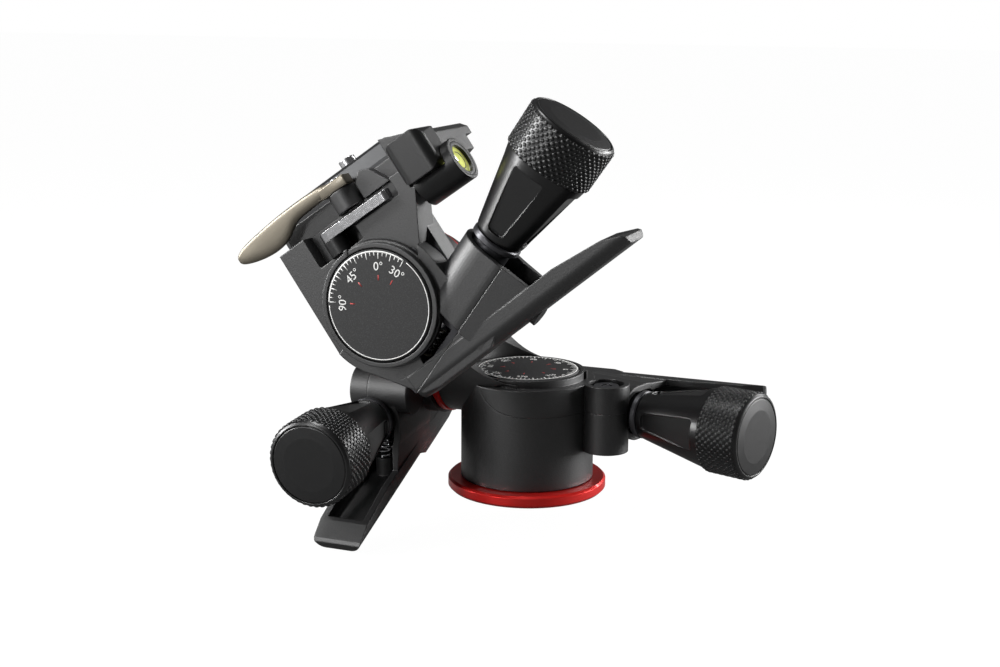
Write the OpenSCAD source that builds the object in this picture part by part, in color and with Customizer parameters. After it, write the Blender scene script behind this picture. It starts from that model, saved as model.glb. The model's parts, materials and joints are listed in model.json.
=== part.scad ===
// Geared tripod head: three worm-drive units (pan, tilt, roll) in a chain,
// each with its own knob and squeeze lever, and a quick-release clamp on top.
// Millimetres, +Z up. The origin is the centre of the base face, on the pan axis.
// +X runs along the tilt axis, the roll axis points along -Y.

/* [Base] */
// Diameter of the red base ring
base_d = 60; // [56:1:66]
// Thickness of the red base ring
base_t = 4.6; // [4:0.2:6]
// Diameter of the tripod thread in the base (3/8 inch)
tripod_thread_d = 9.525; // [6.35:0.005:9.6]
// Depth of the tripod thread
tripod_thread_depth = 10; // [8:0.5:12]

/* [Gear units] */
// Diameter of each round housing
body_d = 50.2; // [49:0.2:52]
// Height of the worm axis over the ring face in the tilt and roll units
axis_h = 16; // [15.6:0.1:17]
// Extra height of the pan housing under its worm
pan_extra_h = 10.3; // [6:0.1:14]
// Height of the housing face over the worm axis
face_rise = 9; // [8.8:0.1:10]
// Extra height of the pan cap over its worm
pan_face_extra = 3; // [1:0.1:5]
// Floor of the housing
floor_t = 4.2; // [3.6:0.1:5]
// Running gap between housing and ring
ring_gap = 0.3; // [0.2:0.05:0.5]
// Angle from lever to knob
knob_rise = 20.7; // [19:0.1:22]

/* [Worm drive] */
// Teeth of the worm wheel
wheel_teeth = 36; // [30:1:36]
// Module of the worm wheel
gear_module = 0.8; // [0.7:0.02:0.8]
// Pitch radius of the worm
worm_pitch_r = 4; // [3.8:0.05:4.2]
// Width of the toothed rim
wheel_w = 5; // [3:0.5:6]
// Length of the worm thread
worm_len = 13; // [10:0.5:13.4]
// Radius of the worm shaft
shaft_r = 2.5; // [2:0.1:2.8]
// Wall of the shaft bushes
bush_t = 1.2; // [0.8:0.1:1.4]
// Radial running clearance of shafts and pins
fit_gap = 0.05; // [0.02:0.01:0.1]
// Backlash between worm and wheel, at each flank
backlash = 0.1; // [0.06:0.01:0.16]
// Travel of the squeeze release in degrees
release_deg = 6.5; // [5:0.5:6.5]

/* [Spindles] */
// Radius of the spindle shafts
spindle_r = 7; // [6:0.1:7.4]
// Radius of the spindle flanges
flange_r = 12; // [11:0.5:14]
// Wall of the spindle bushes
spindle_bush_t = 2.5; // [2:0.1:3]

/* [Dials] */
// Diameter of the scale disc
dial_d = 38.8; // [36:0.2:40]
// Thickness of the scale disc
dial_t = 2.6; // [2:0.1:3.4]
// Wall of the rim around the scale disc
dial_rim_t = 1.6; // [1:0.1:2]

/* [Knobs] */
// Distance from the wheel axis to the foot of the knob, along the knob
knob_start = 42.1; // [42:0.1:46]
// Length of the knob
knob_len = 46; // [42:0.5:52]
// Length of the knurled band
knurl_len = 16; // [12:0.5:20]
// Diameter at the foot of the knob
knob_foot_d = 18; // [16:0.2:19]
// Diameter at the knurled band
knob_band_d = 31.2; // [28:0.2:34]
// Grip recesses round the cone
knob_recesses = 4; // [3:1:5]
// Depth of the grip recesses
recess_depth = 1.3; // [0.6:0.1:1.8]

/* [Levers] */
// Reach of the squeeze lever from the wheel axis
lever_len = 86; // [80:1:92]
// Width of the squeeze lever
lever_w = 18.8; // [17:0.2:19.4]
// Wall of the lever channel
lever_wall = 2.4; // [1.8:0.1:3]

/* [Pan unit] */
// Direction of the pan lever about the pan axis
pan_lever_deg = 3.7; // [-10:0.1:12]

/* [Tilt unit] */
// Height of the tilt axis over the base
tilt_z = 51.3; // [51:0.1:54]
// Distance from the pan axis to the tilt ring face
tilt_ring_x = 31; // [30.6:0.1:34]
// Diameter of the tilt and roll rings
ring_d = 48.4; // [47:0.2:50]
// Thickness of the tilt and roll rings
ring_t = 3; // [2.4:0.1:3.6]
// Direction of the tilt lever below the horizontal
tilt_lever_deg = 25; // [15:0.5:35]

/* [Roll unit] */
// Offset of the roll axis to the left of the pan axis
roll_x = 27.6; // [27:0.1:29]
// Height of the roll axis over the base
roll_z = 80.3; // [80:0.1:83]
// Distance from the tilt axis to the roll ring face
roll_ring_y = 43.3; // [43:0.1:46]
// Side tilt of the platform in the modelled pose
roll_deg = 35; // [0:1:45]

/* [Clamp platform] */
// Width of the quick-release plate, front to back
plate_w = 42.5; // [40:0.5:43]
// Length of the quick-release plate along the lever
plate_l = 52; // [48:0.5:54]
// Thickness of the quick-release plate
plate_t = 7; // [6:0.1:7.6]
// Thickness of the rubber pad
pad_t = 1; // [0.8:0.1:1.6]
// Height of the plate seat over the roll axis
seat_h = 41; // [40.5:0.1:43]
// Diameter of the camera screw (1/4 inch)
camera_screw_d = 6.35; // [5:0.05:9.5]

/* [Hidden] */
$fn = 64;

// Round body, rings and pins
base_r = base_d / 2;
body_r = body_d / 2;
ring_r = ring_d / 2;
pan_axis_h = axis_h + pan_extra_h;
pan_face_rise = face_rise + pan_face_extra;
cap_t = 2.5;

// Worm drive
wheel_r = gear_module * wheel_teeth / 2;
worm_offset = wheel_r + worm_pitch_r;
gear_pitch = PI * gear_module;
addendum = gear_module;
dedendum = 1.25 * gear_module;
pressure_deg = 20;
lead_deg = atan(gear_module / (2 * worm_pitch_r));
wheel_tip_r = wheel_r + addendum;
hub_r = 10.5;
worm_core_r = worm_pitch_r - dedendum;
worm_tip_r = worm_pitch_r + addendum;
thread_steps = 16;

// Rocker that carries the worm, in the frame along the knob
bush_r = shaft_r + fit_gap + bush_t;
block_gap = 0.9;
block_x = worm_len / 2 + block_gap;
rear_block_t = 3.8;
front_block_t = 5.6;
rocker_h = 11.6;
rocker_back = 5.6;
rocker_plate_t = 2.4;
neck_r = 6.8;
mouth_x = knob_start - 4.6;
collar_x = knob_start - 2.7;
collar_r = knob_foot_d / 2 - 0.1;
pivot = [-(block_x + rear_block_t + 4.8), -(worm_offset + 1)];
pivot_boss_r = 3.2;
pin_r = 1.5;
pin_in = 3;
swing = (mouth_x - pivot[0]) * sin(release_deg);
slot_r = neck_r + 1.2;
barrel_r = slot_r + 2.3;
slot_back = -(worm_offset + swing);

// Release spring
spring_x = knob_start - 13.1;
spring_r = 2.7;
spring_wire = 0.8;
spring_curls = 5;
spring_rings = 8;
spring_sides = 6;
spring_seat_r = 3.7;
spring_top = worm_offset + neck_r + 0.4;
spring_len = 10.2;

// Dial
dial_r = dial_d / 2;
dial_gap = 0.4;

// Foot of the pan spindle, with the threaded insert in it
foot_r = flange_r + 7;
insert_r = tripod_thread_d / 2 + 1.2;
insert_len = tripod_thread_depth + 2;
insert_flange_r = insert_r + 8;
insert_flange_t = 2.2;
insert_screw_r = 1;
insert_screw_head_r = 2;

// Lever
lever_slope = 4;
web_h = lever_w / 2 - 0.1;
lever_back = worm_offset + 15.8;
lever_edge = [[-8, -25.5], [8, -24.9], [23, -24], [37, -23.1], [59, -21.3], [78, -22.2]];

// Boss beside the dial and the screws of the cap
boss_at = [31, 2];
boss_r = 8.6;
boss_down = 13.5;
boss_recess_r = 6.5;
boss_recess_depth = 3;
boss_head_r = 4.6;
boss_head_t = 2.2;
screw_r = 1.5;
screw_head_r = 2.8;
screw_head_t = 1.9;
cavity_r = wheel_tip_r + 2;
screw_ring_r = (body_r + cavity_r) / 2;
screw_angles = [25, 100, 165];

// Castings between the units
cast_gap = 0.02;
elbow_r = ring_r - 0.6;
elbow_curve_r = 29;
arm_t = 11;
arm_disc_r = ring_r - 1.8;
arm_step_t = 3;
spindle_stub = 4;

// Neck of the roll housing, and the hollow for the safety catch
slab_t = 7;
neck_top = seat_h - slab_t;
neck_front = 7;
neck_back = 5;
neck_left = 25.4;
neck_right = 31;
neck_cap_r = 22;
cap_seam_z = 2;
catch_at = [-4, 5.5];
catch_post_r = 4.2;
catch_post_h = 5.8;
catch_top = neck_top - 5.8;
catch_low = catch_top - catch_post_h;
catch_blade_t = 3.4;
catch_len = 25;
catch_hollow_z = 0.8;

// Platform and plate
plate_z = -26.8;
slab_front = -1.3;
slab_back = -54;
slab_left = -28;
slab_right = 36;
plate_gap = 0.1;
plate_front = plate_z + plate_w / 2;
plate_back = plate_z - plate_w / 2;
plate_edge = 2;
plate_bevel = 2.4;
lip_h = 5.4;
platform_screw_x = [-18, 24];
platform_screw_z = -5.5;

// Camera screw
screw_hollow = 4.4;
camera_head_r = 9.6;
camera_head_t = 2.5;
camera_screw_low = seat_h + screw_hollow - camera_head_t - 0.1;
camera_screw_top = seat_h + plate_t + pad_t + 5.3;
camera_thread_low = seat_h + plate_t + pad_t + 0.3;
camera_neck_r = camera_screw_d / 2 - 0.5;

// Clamp lever on its cam
cam_pivot = [5.5, 0.6];
cam_pin_r = 2.4;
cam_throw = 1.8;
cam_r = cam_pivot[1] - plate_front - cam_throw - 0.05;
cam_foot_r = 5.4;
cam_top = seat_h + 3.9;

// Level box and the tube of the vial
box_left = 31.5;
box_right = 46.5;
box_low = seat_h - 14;
box_high = seat_h + 1.2;
box_front = 12.6;
box_corner_r = 3.4;
vial_at = [box_low - 0.9, 0.4];
tube_r = 7.8;
tube_left = neck_right + 1.7;
tube_end = 49.8;
vial_r = 5.3;
vial_len = 10.6;
vial_floor = tube_end - 12;

// Unit frames: the origin is where the wheel axis meets the plane of the worm,
// x runs along the lever and z towards the dial.
module in_pan() {
    translate([0, 0, base_t + pan_axis_h])
        rotate([0, 0, pan_lever_deg])
            mirror([0, 1, 0])
                children();
}

module in_tilt() {
    translate([-(tilt_ring_x + axis_h), 0, tilt_z])
        rotate([90 + tilt_lever_deg, 0, 0])
            rotate([0, -90, 0])
                children();
}

module in_roll() {
    translate([-roll_x, -(roll_ring_y + axis_h), roll_z])
        rotate([0, -roll_deg, 0])
            rotate([90, 0, 0])
                children();
}

// Frame of the knob: x runs along the knob, from the foot of the wheel radius.
module along_knob() {
    rotate([0, 0, knob_rise])
        children();
}

// Solid of revolution about the x axis from [x, radius] points.
module turned(points) {
    rotate([0, 90, 0])
        rotate_extrude()
            polygon([for (p = points) [p[1], p[0]]]);
}

// ---- Worm wheel and worm ----

function involute(a) = tan(a) * 180 / PI - a;
function flank_half_deg(r) =
    90 / wheel_teeth - (backlash / wheel_r) * 180 / PI + involute(pressure_deg)
    - involute(acos(min(1, wheel_r * cos(pressure_deg) / r)));

module wheel_outline() {
    radii = [wheel_r - dedendum, wheel_r, wheel_tip_r];
    step = 360 / wheel_teeth;
    polygon([
        for (tooth = [0 : wheel_teeth - 1])
            for (side = [-1, 1])
                for (i = [0 : len(radii) - 1])
                    let (r = side < 0 ? radii[i] : radii[len(radii) - 1 - i],
                        a = (tooth + 0.5) * step + side * flank_half_deg(r))
                        [r * cos(a), r * sin(a)]
    ]);
}

module worm_wheel(floor_z, ceiling_z) {
    turn = wheel_w * tan(lead_deg) / wheel_r * 180 / PI;
    difference() {
        union() {
            along_knob()
                translate([0, 0, -wheel_w / 2])
                    rotate([0, 0, -turn / 2])
                        linear_extrude(wheel_w, twist = -turn, slices = 2)
                            wheel_outline();
            translate([0, 0, floor_z])
                cylinder(r = hub_r, h = ceiling_z - floor_z);
        }
        translate([0, 0, floor_z - 1])
            cylinder(r = spindle_r + fit_gap / 2, h = ceiling_z - floor_z + 2);
    }
}

// Worm thread as one swept tooth: each station is a trapezium across the thread.
module worm_thread() {
    inner_r = worm_core_r - 0.1;
    half_pitch_w = gear_pitch / 4 - backlash;
    half_w = function(r) half_pitch_w - (r - worm_pitch_r) * tan(pressure_deg);
    turns = floor((worm_len / 2 - half_w(inner_r)) / gear_pitch * thread_steps) / thread_steps;
    stations = 2 * turns * thread_steps;
    corners = [[-half_w(inner_r), inner_r], [-half_w(worm_tip_r), worm_tip_r],
        [half_w(worm_tip_r), worm_tip_r], [half_w(inner_r), inner_r]];
    points = [
        for (i = [0 : stations])
            let (a = (i / thread_steps - turns) * 360, x = a / 360 * gear_pitch)
                for (c = corners)
                    [x + c[0], c[1] * cos(a), c[1] * sin(a)]
    ];
    sides = [
        for (i = [0 : stations - 1])
            for (j = [0 : 3])
                let (a = i * 4 + j, b = i * 4 + (j + 1) % 4)
                    each [[a, b, a + 4], [b, b + 4, a + 4]]
    ];
    last = stations * 4;
    ends = [[0, 2, 1], [0, 3, 2], [last, last + 1, last + 2], [last, last + 2, last + 3]];
    polyhedron(points, concat(sides, ends));
}

module worm() {
    shaft_rear = -(block_x + rear_block_t);
    along_knob()
        translate([0, -worm_offset, 0])
            union() {
                worm_thread();
                turned([[shaft_rear, 0], [shaft_rear, shaft_r], [-worm_len / 2 - 0.5, shaft_r],
                    [-worm_len / 2 - 0.5, worm_core_r], [worm_len / 2 + 0.5, worm_core_r],
                    [worm_len / 2 + 0.5, shaft_r], [knob_start + 24, shaft_r], [knob_start + 24, 0]]);
            }
}

module worm_bushes() {
    along_knob()
        translate([0, -worm_offset, 0])
            for (span = [[-block_x - rear_block_t, -block_x], [block_x, block_x + front_block_t]])
                turned([[span[0], shaft_r + fit_gap], [span[0], bush_r - fit_gap / 2],
                    [span[1], bush_r - fit_gap / 2], [span[1], shaft_r + fit_gap]]);
}

// ---- Rocker, pin and spring ----

module rocker_block(x, t) {
    wheel_side = 4.8;
    translate([x, -(worm_offset + rocker_back + 0.1), -rocker_h / 2])
        cube([t, rocker_back + 0.1 + wheel_side, rocker_h]);
}

module rocker() {
    plate_y = -(worm_offset + rocker_back + rocker_plate_t);
    along_knob()
        difference() {
            union() {
                translate([pivot[0], plate_y, -rocker_h / 2])
                    cube([block_x + front_block_t - pivot[0] + 8, rocker_plate_t, rocker_h]);
                translate([pivot[0], pivot[1], -rocker_h / 2])
                    cylinder(r = pivot_boss_r, h = rocker_h);
                translate([pivot[0] - pivot_boss_r, plate_y, -rocker_h / 2])
                    cube([2 * pivot_boss_r, pivot[1] - plate_y, rocker_h]);
                rocker_block(-(block_x + rear_block_t), rear_block_t);
                rocker_block(block_x, front_block_t);
                translate([0, -worm_offset, 0])
                    turned([[block_x + front_block_t - 0.1, 0], [block_x + front_block_t - 0.1, neck_r],
                        [collar_x, neck_r], [collar_x, collar_r - 0.5], [collar_x + 0.5, collar_r],
                        [collar_x + 1.9, collar_r], [collar_x + 2.4, collar_r - 0.5], [collar_x + 2.4, 0]]);
                translate([spring_x, -worm_offset, 0])
                    rotate([90, 0, 0])
                        cylinder(r = spring_seat_r, h = spring_top - worm_offset);
            }
            translate([0, -worm_offset, 0])
                turned([[pivot[0] + 2, 0], [pivot[0] + 2, bush_r], [block_x + front_block_t, bush_r],
                    [block_x + front_block_t, shaft_r + 0.5], [knob_start, shaft_r + 0.5], [knob_start, 0]]);
            translate([pivot[0], pivot[1], -rocker_h])
                cylinder(r = pin_r + fit_gap, h = 2 * rocker_h);
        }
}

module rocker_pin() {
    along_knob()
        translate([pivot[0], pivot[1], -(rocker_h / 2 + pin_in)])
            cylinder(r = pin_r, h = rocker_h + 2 * pin_in);
}

module rocker_pin_hole() {
    along_knob()
        translate([pivot[0], pivot[1], -(rocker_h / 2 + pin_in)])
            cylinder(r = pin_r + fit_gap / 2, h = rocker_h + 2 * pin_in);
}

// Centre line of the spring wire from the rocker towards the lever.
function spring_point(i) =
    let (lead_in = spring_wire, n = spring_curls * spring_rings,
        wound = spring_len - 2 * lead_in,
        t = i < 1 ? 0 : i > n + 1 ? n : i - 1,
        a = t * 360 / spring_rings,
        d = i < 1 ? 0 : i > n + 1 ? spring_len : lead_in + wound * t / n)
        [spring_r * cos(a), spring_r * sin(a), d];
function spring_gap() =
    min([
        for (i = [0 : spring_curls * spring_rings + 2])
            for (j = [i + spring_rings / 2 : spring_curls * spring_rings + 2])
                norm(spring_point(i) - spring_point(j))
    ]) - spring_wire;
echo(least_gap_between_spring_curls = spring_gap());

module release_spring() {
    rings = spring_curls * spring_rings + 2;
    wire_r = spring_wire / 2;
    points = [
        for (i = [0 : rings])
            let (before = spring_point(max(i - 1, 0)), after = spring_point(min(i + 1, rings)),
                square_end = i == 0 || i == rings,
                run = square_end ? [0, 0, 1] : (after - before) / norm(after - before),
                at = spring_point(i), out = [at[0], at[1], 0] / spring_r,
                up = cross(run, out) / norm(cross(run, out)), side = cross(up, run))
                for (j = [0 : spring_sides - 1])
                    at + wire_r * (cos(j * 360 / spring_sides) * side + sin(j * 360 / spring_sides) * up)
    ];
    walls = [
        for (i = [0 : rings - 1])
            for (j = [0 : spring_sides - 1])
                let (a = i * spring_sides + j, b = i * spring_sides + (j + 1) % spring_sides,
                    c = a + spring_sides, d = b + spring_sides)
                    each [[a, c, b], [b, c, d]]
    ];
    last = rings * spring_sides;
    ends = [
        for (j = [1 : spring_sides - 2])
            each [[0, j, j + 1], [last, last + j + 1, last + j]]
    ];
    along_knob()
        translate([spring_x, -spring_top, 0])
            rotate([90, 0, 0])
                polyhedron(points, concat(walls, ends));
}

// ---- Knob ----

module knob() {
    foot_r = knob_foot_d / 2;
    band_r = knob_band_d / 2;
    cone_len = knob_len - knurl_len;
    cone_r = band_r - 0.5;
    slope = atan((cone_r - foot_r) / cone_len);
    along_knob()
        translate([knob_start, -worm_offset, 0])
            difference() {
                turned([[0, 0], [0, foot_r - 1], [0.3, foot_r - 0.3], [1, foot_r], [cone_len, cone_r],
                    [cone_len + 0.4, band_r - 0.1], [knob_len - 1.6, band_r + 0.1],
                    [knob_len - 0.5, band_r - 0.4], [knob_len, band_r - 1.2], [knob_len, 0]]);
                turned([[knob_len - 1.8, 0], [knob_len - 1.8, band_r - 1.6], [knob_len + 1, band_r - 1.6],
                    [knob_len + 1, 0]]);
                turned([[-1, 0], [-1, shaft_r + fit_gap / 2], [24, shaft_r + fit_gap / 2], [24, 0]]);
                for (i = [0 : knob_recesses - 1])
                    rotate([i * 360 / knob_recesses, 0, 0])
                        translate([0, 0, foot_r - recess_depth])
                            rotate([0, -slope, 0])
                                linear_extrude(8)
                                    recess_outline(cone_len);
            }
}

module recess_outline(cone_len) {
    corner_r = 1.5;
    foot_in = 4.5;
    hull() {
        for (end = [[foot_in, 1.6], [cone_len - 4, 4.4]])
            for (side = [-1, 1])
                translate([end[0], side * end[1]])
                    circle(r = corner_r, $fn = 32);
    }
}

module knob_cap() {
    band_r = knob_band_d / 2;
    along_knob()
        translate([knob_start, -worm_offset, 0])
            turned([[knob_len - 1.8, 0], [knob_len - 1.8, band_r - 1.65], [knob_len - 0.35, band_r - 1.65],
                [knob_len, band_r - 2.1], [knob_len + 0.3, band_r - 6], [knob_len + 0.3, 0]]);
}

// ---- Housing, cap and lever ----

module stadium_prism(r, near, far, from_x, to_x) {
    translate([from_x, 0, 0])
        rotate([90, 0, 90])
            linear_extrude(to_x - from_x)
                hull() {
                    translate([near, 0])
                        circle(r = r);
                    translate([far, 0])
                        circle(r = r);
                }
}

module lever_section(inset) {
    corner_r = 4.5;
    half_w = lever_w / 2 - inset;
    hull() {
        for (side = [-1, 1]) {
            translate([corner_r, side * (lever_w / 2 - corner_r)])
                circle(r = corner_r - inset);
            translate([16, side * (half_w - 0.5) - 0.5])
                square([1, 1]);
        }
    }
}

module lever_side() {
    tip = lever_len;
    tip_y = lever_edge[5][1];
    polygon(concat([[-8, -lever_back - 2], [tip - 6, -lever_back - 2], [tip - 5.5, tip_y - 6.4],
        [tip - 1, tip_y - 7.4], [tip, tip_y - 6.6], [tip, tip_y - 3.4], [tip - 1, tip_y - 2.4]],
        [for (i = [len(lever_edge) - 1 : -1 : 0]) lever_edge[i]]));
}

module lever_bar(inset, from_x, to_x) {
    translate([0, -lever_back, 0])
        rotate([0, 0, lever_slope])
            translate([from_x, 0, 0])
                rotate([90, 0, 90])
                    linear_extrude(to_x - from_x)
                        lever_section(inset);
}

module lever() {
    intersection() {
        lever_bar(0, -6, lever_len + 2);
        translate([0, 0, -lever_w])
            linear_extrude(2 * lever_w)
                lever_side();
    }
}

module body_outline() {
    hull() {
        circle(r = body_r - 0.2);
        polygon([[-8, -29], [-4, -lever_back + 1], [2, -lever_back + 0.3], [26, -lever_back + 2],
            [30, -lever_back + 5]]);
    }
}

// Space for the wheel, the rocker, its neck and the lever channel.
module unit_cavity(a, f) {
    floor_z = -a + ring_gap + floor_t;
    translate([0, 0, floor_z])
        cylinder(r = cavity_r, h = f - cap_t - floor_z);
    along_knob() {
        pocket_z = rocker_h / 2 + 0.7;
        plate_y = -(worm_offset + rocker_back + rocker_plate_t);
        neck_x = block_x + front_block_t + 3;
        translate([0, 0, -pocket_z])
            linear_extrude(2 * pocket_z)
                polygon([[pivot[0] - pivot_boss_r - 1, pivot[1] + pivot_boss_r + 1],
                    [0, -8], [neck_x, -8], [neck_x, -worm_offset + slot_r], [neck_x + 6, -worm_offset],
                    [neck_x + 6, plate_y - swing - 0.4], [pivot[0] + 4, plate_y - 1],
                    [pivot[0] - pivot_boss_r - 1, plate_y - 0.6]]);
        stadium_prism(slot_r, -worm_offset, slot_back, block_x + front_block_t - 1, knob_start);
    }
}

module lever_channel() {
    intersection() {
        lever_bar(lever_wall, 22, lever_len - 9);
        translate([0, 0, -lever_w])
            linear_extrude(2 * lever_w)
                polygon([[10, -60], [lever_len, -60], [lever_len, 0], [50, 0], [38, -18]]);
    }
}

// Opening beside the dial, where the neck of the rocker can be seen.
module side_opening(f) {
    translate([0, 0, 2])
        linear_extrude(f + 4)
            difference() {
                rotate([0, 0, knob_rise])
                    polygon([[-7.4, -23.4], [-4, -16], [11, -10], [11.6, -17.9], [10.4, -27.4], [3, -26.4]]);
                circle(r = dial_r + dial_gap + dial_rim_t + 0.3);
            }
}

// Barrel round the neck of the rocker, with a foot as wide as the lever.
module barrel() {
    start_x = 9.8;
    foot_y = slot_back - 13.6;
    foot_w = lever_w / 2 - 0.5;
    stadium_prism(barrel_r, -worm_offset - 0.3, slot_back, start_x, mouth_x);
    translate([start_x, 0, 0])
        rotate([90, 0, 90])
            linear_extrude(mouth_x - start_x)
                polygon([[slot_back, barrel_r - 0.2], [foot_y, foot_w], [foot_y, -foot_w],
                    [slot_back, 0.2 - barrel_r]]);
}

module unit_solid(a, f, boss) {
    translate([0, 0, -a + ring_gap])
        cylinder(r = body_r, h = a - ring_gap + f);
    translate([0, 0, -web_h])
        linear_extrude(web_h + min(f, web_h))
            body_outline();
    along_knob()
        barrel();
    lever();
    if (boss)
        translate([boss_at[0], boss_at[1], -boss_down])
            cylinder(r = boss_r, h = boss_down + f);
}

// Zone of the cap: over the seam, on the wheel side of the lever.
module cap_zone(f) {
    translate([0, 0, cap_seam_z])
        linear_extrude(f + 8)
            rotate([0, 0, knob_rise])
                translate([-45, -(worm_offset + 8.8)])
                    square([47 + mouth_x, 70]);
}

module dial_rim(f, pointer_deg) {
    rim_r = dial_r + dial_gap;
    sunk = 0.4;
    rim_h = dial_gap + dial_t - 0.3 + sunk;
    translate([0, 0, f - sunk])
        difference() {
            cylinder(r = rim_r + dial_rim_t, h = rim_h);
            translate([0, 0, -1])
                cylinder(r = rim_r, h = rim_h + 2);
        }
    rotate([0, 0, pointer_deg])
        translate([rim_r, 0, f - sunk])
            linear_extrude(rim_h + 0.25)
                polygon([[0.1, 0], [dial_rim_t + 1, -1.1], [dial_rim_t + 1, 1.1]]);
}

module screw_holes(a, f, boss, gap) {
    low = -a + ring_gap;
    for (angle = screw_angles)
        rotate([0, 0, angle])
            translate([screw_ring_r, 0, 0]) {
                translate([0, 0, low - 1])
                    cylinder(r = screw_head_r + gap * 4, h = screw_head_t + 1.6);
                translate([0, 0, low])
                    cylinder(r = screw_r + gap, h = f - 2 - low);
            }
    if (boss) {
        translate([boss_at[0], boss_at[1], f - boss_recess_depth])
            cylinder(r = boss_recess_r, h = boss_recess_depth + 1);
        translate([boss_at[0], boss_at[1], -boss_down + 4])
            cylinder(r = screw_r + gap, h = f + boss_down - 4);
    }
}

module cap_screws(a, f, boss) {
    low = -a + ring_gap;
    for (angle = screw_angles)
        rotate([0, 0, angle])
            translate([screw_ring_r, 0, low]) {
                translate([0, 0, 0.6])
                    socket_head(screw_head_r, screw_head_t);
                translate([0, 0, 1])
                    cylinder(r = screw_r, h = f - 3 - low);
            }
    if (boss)
        translate([boss_at[0], boss_at[1], 0]) {
            translate([0, 0, f - boss_recess_depth + boss_head_t])
                mirror([0, 0, 1])
                    socket_head(boss_head_r, boss_head_t);
            translate([0, 0, -boss_down + 5])
                cylinder(r = screw_r, h = f + boss_down - 6);
        }
}

// Screw head with a hex socket in its lower face.
module socket_head(r, t) {
    difference() {
        cylinder(r = r, h = t);
        translate([0, 0, -1])
            cylinder(r = r * 0.5, h = 1 + t * 0.6, $fn = 6);
    }
}

// A child, if given, is the zone that the housing leaves to its cap.
module housing(a, f, boss) {
    floor_z = -a + ring_gap;
    difference() {
        unit_solid(a, f, boss);
        unit_cavity(a, f);
        lever_channel();
        if ($children > 0)
            children();
        else
            cap_zone(f);
        side_opening(f);
        screw_holes(a, f, boss, fit_gap);
        translate([0, 0, floor_z - 1])
            cylinder(r = spindle_r + fit_gap + spindle_bush_t, h = floor_t + 2);
        rocker_pin_hole();
    }
    spring_seat();
}

// Cup inside the lever that the spring stands in.
module spring_seat() {
    along_knob()
        translate([spring_x, -(spring_top + spring_len), 0])
            rotate([90, 0, 0])
                cylinder(r = spring_seat_r, h = 9.5);
}

module cap(a, f, boss, pointer_deg) {
    difference() {
        union() {
            intersection() {
                unit_solid(a, f, boss);
                cap_zone(f);
            }
            dial_rim(f, pointer_deg);
        }
        unit_cavity(a, f);
        lever_channel();
        side_opening(f);
        screw_holes(a, f, boss, fit_gap);
        translate([0, 0, f - cap_t - 1])
            cylinder(r = spindle_r + fit_gap + spindle_bush_t, h = cap_t + 2);
        translate([0, 0, f])
            cylinder(r = dial_r + dial_gap, h = 20);
        rocker_pin_hole();
    }
}

// ---- Spindle, bushings, dial ----

module bushings(a, f) {
    inner_r = spindle_r + fit_gap;
    outer_r = inner_r + spindle_bush_t - fit_gap / 2;
    floor_z = -a + ring_gap;
    for (end = [[floor_z, floor_z + floor_t, 1.4], [f, f - cap_t, -1.4]])
        rotate_extrude()
            polygon([[inner_r, end[0]], [outer_r, end[0]], [outer_r, end[1]], [outer_r + 2, end[1]],
                [outer_r + 2, end[1] + end[2]], [inner_r, end[1] + end[2]]]);
}

module dial() {
    rotate_extrude()
        polygon([[0, 0], [dial_r - 0.6, 0], [dial_r, 0.6], [dial_r, dial_t - 0.5],
            [dial_r - 0.5, dial_t], [0, dial_t]]);
}

module unit_wheel(a, f) {
    worm_wheel(-a + ring_gap + floor_t + 1.5, f - cap_t - 1.5);
}

// ---- Base ----

module base_ring() {
    bore_r = foot_r + fit_gap / 2;
    color("firebrick")
        rotate_extrude()
            polygon([[bore_r, 0], [base_r - 1, 0], [base_r, 1], [base_r, base_t - 0.8],
                [base_r - 0.8, base_t], [bore_r, base_t]]);
}

// Threaded steel insert: a flange in the foot of the spindle and a sleeve in its bore.
module base_insert() {
    color("silver")
        difference() {
            rotate_extrude()
                polygon([[0, 0], [insert_flange_r, 0], [insert_flange_r, insert_flange_t],
                    [insert_r, insert_flange_t], [insert_r, insert_len], [0, insert_len]]);
            translate([0, 0, -1])
                cylinder(d = tripod_thread_d, h = tripod_thread_depth + 1);
            insert_screw_places()
                translate([0, 0, -1]) {
                    cylinder(r = insert_screw_head_r + fit_gap, h = 2.5);
                    cylinder(r = insert_screw_r + fit_gap, h = 6);
                }
        }
}

module insert_screw_places() {
    for (i = [0 : 2])
        rotate([0, 0, 60 + i * 120])
            translate([(insert_r + insert_flange_r) / 2, 0, 0])
                children();
}

// Screws that hold the insert to the foot of the pan spindle.
module base_screws() {
    color("dimgray")
        insert_screw_places() {
            translate([0, 0, 0.3])
                socket_head(insert_screw_head_r, 1.2);
            translate([0, 0, 1.2])
                cylinder(r = insert_screw_r, h = base_t - 1.6);
        }
}

module pan_spindle() {
    top = base_t + pan_axis_h + pan_face_rise + dial_gap;
    color("silver")
        difference() {
            rotate_extrude()
                polygon([[0, 0], [foot_r, 0], [foot_r, base_t], [spindle_r, base_t], [spindle_r, top], [0, top]]);
            translate([0, 0, -1])
                cylinder(r = insert_flange_r + fit_gap / 2, h = 1 + insert_flange_t);
            translate([0, 0, -1])
                cylinder(r = insert_r + fit_gap / 2, h = 1 + insert_len);
            insert_screw_places()
                cylinder(r = insert_screw_r + fit_gap, h = base_t - 0.2);
        }
}

// ---- Pan unit ----

// The pan housing keeps its left part up to the face, where the elbow grows.
module pan_left_zone() {
    seam_r = 16.5;
    seam_x = 4;
    mirror([0, 1, 0])
        rotate([0, 0, -pan_lever_deg])
            translate([0, 40, -(base_t + pan_axis_h)])
                rotate([90, 0, 0])
                    linear_extrude(80)
                        difference() {
                            translate([-40, 0])
                                square([40 + seam_x, 90]);
                            translate([seam_x, base_t + pan_axis_h + 19])
                                circle(r = seam_r);
                        }
}

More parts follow.
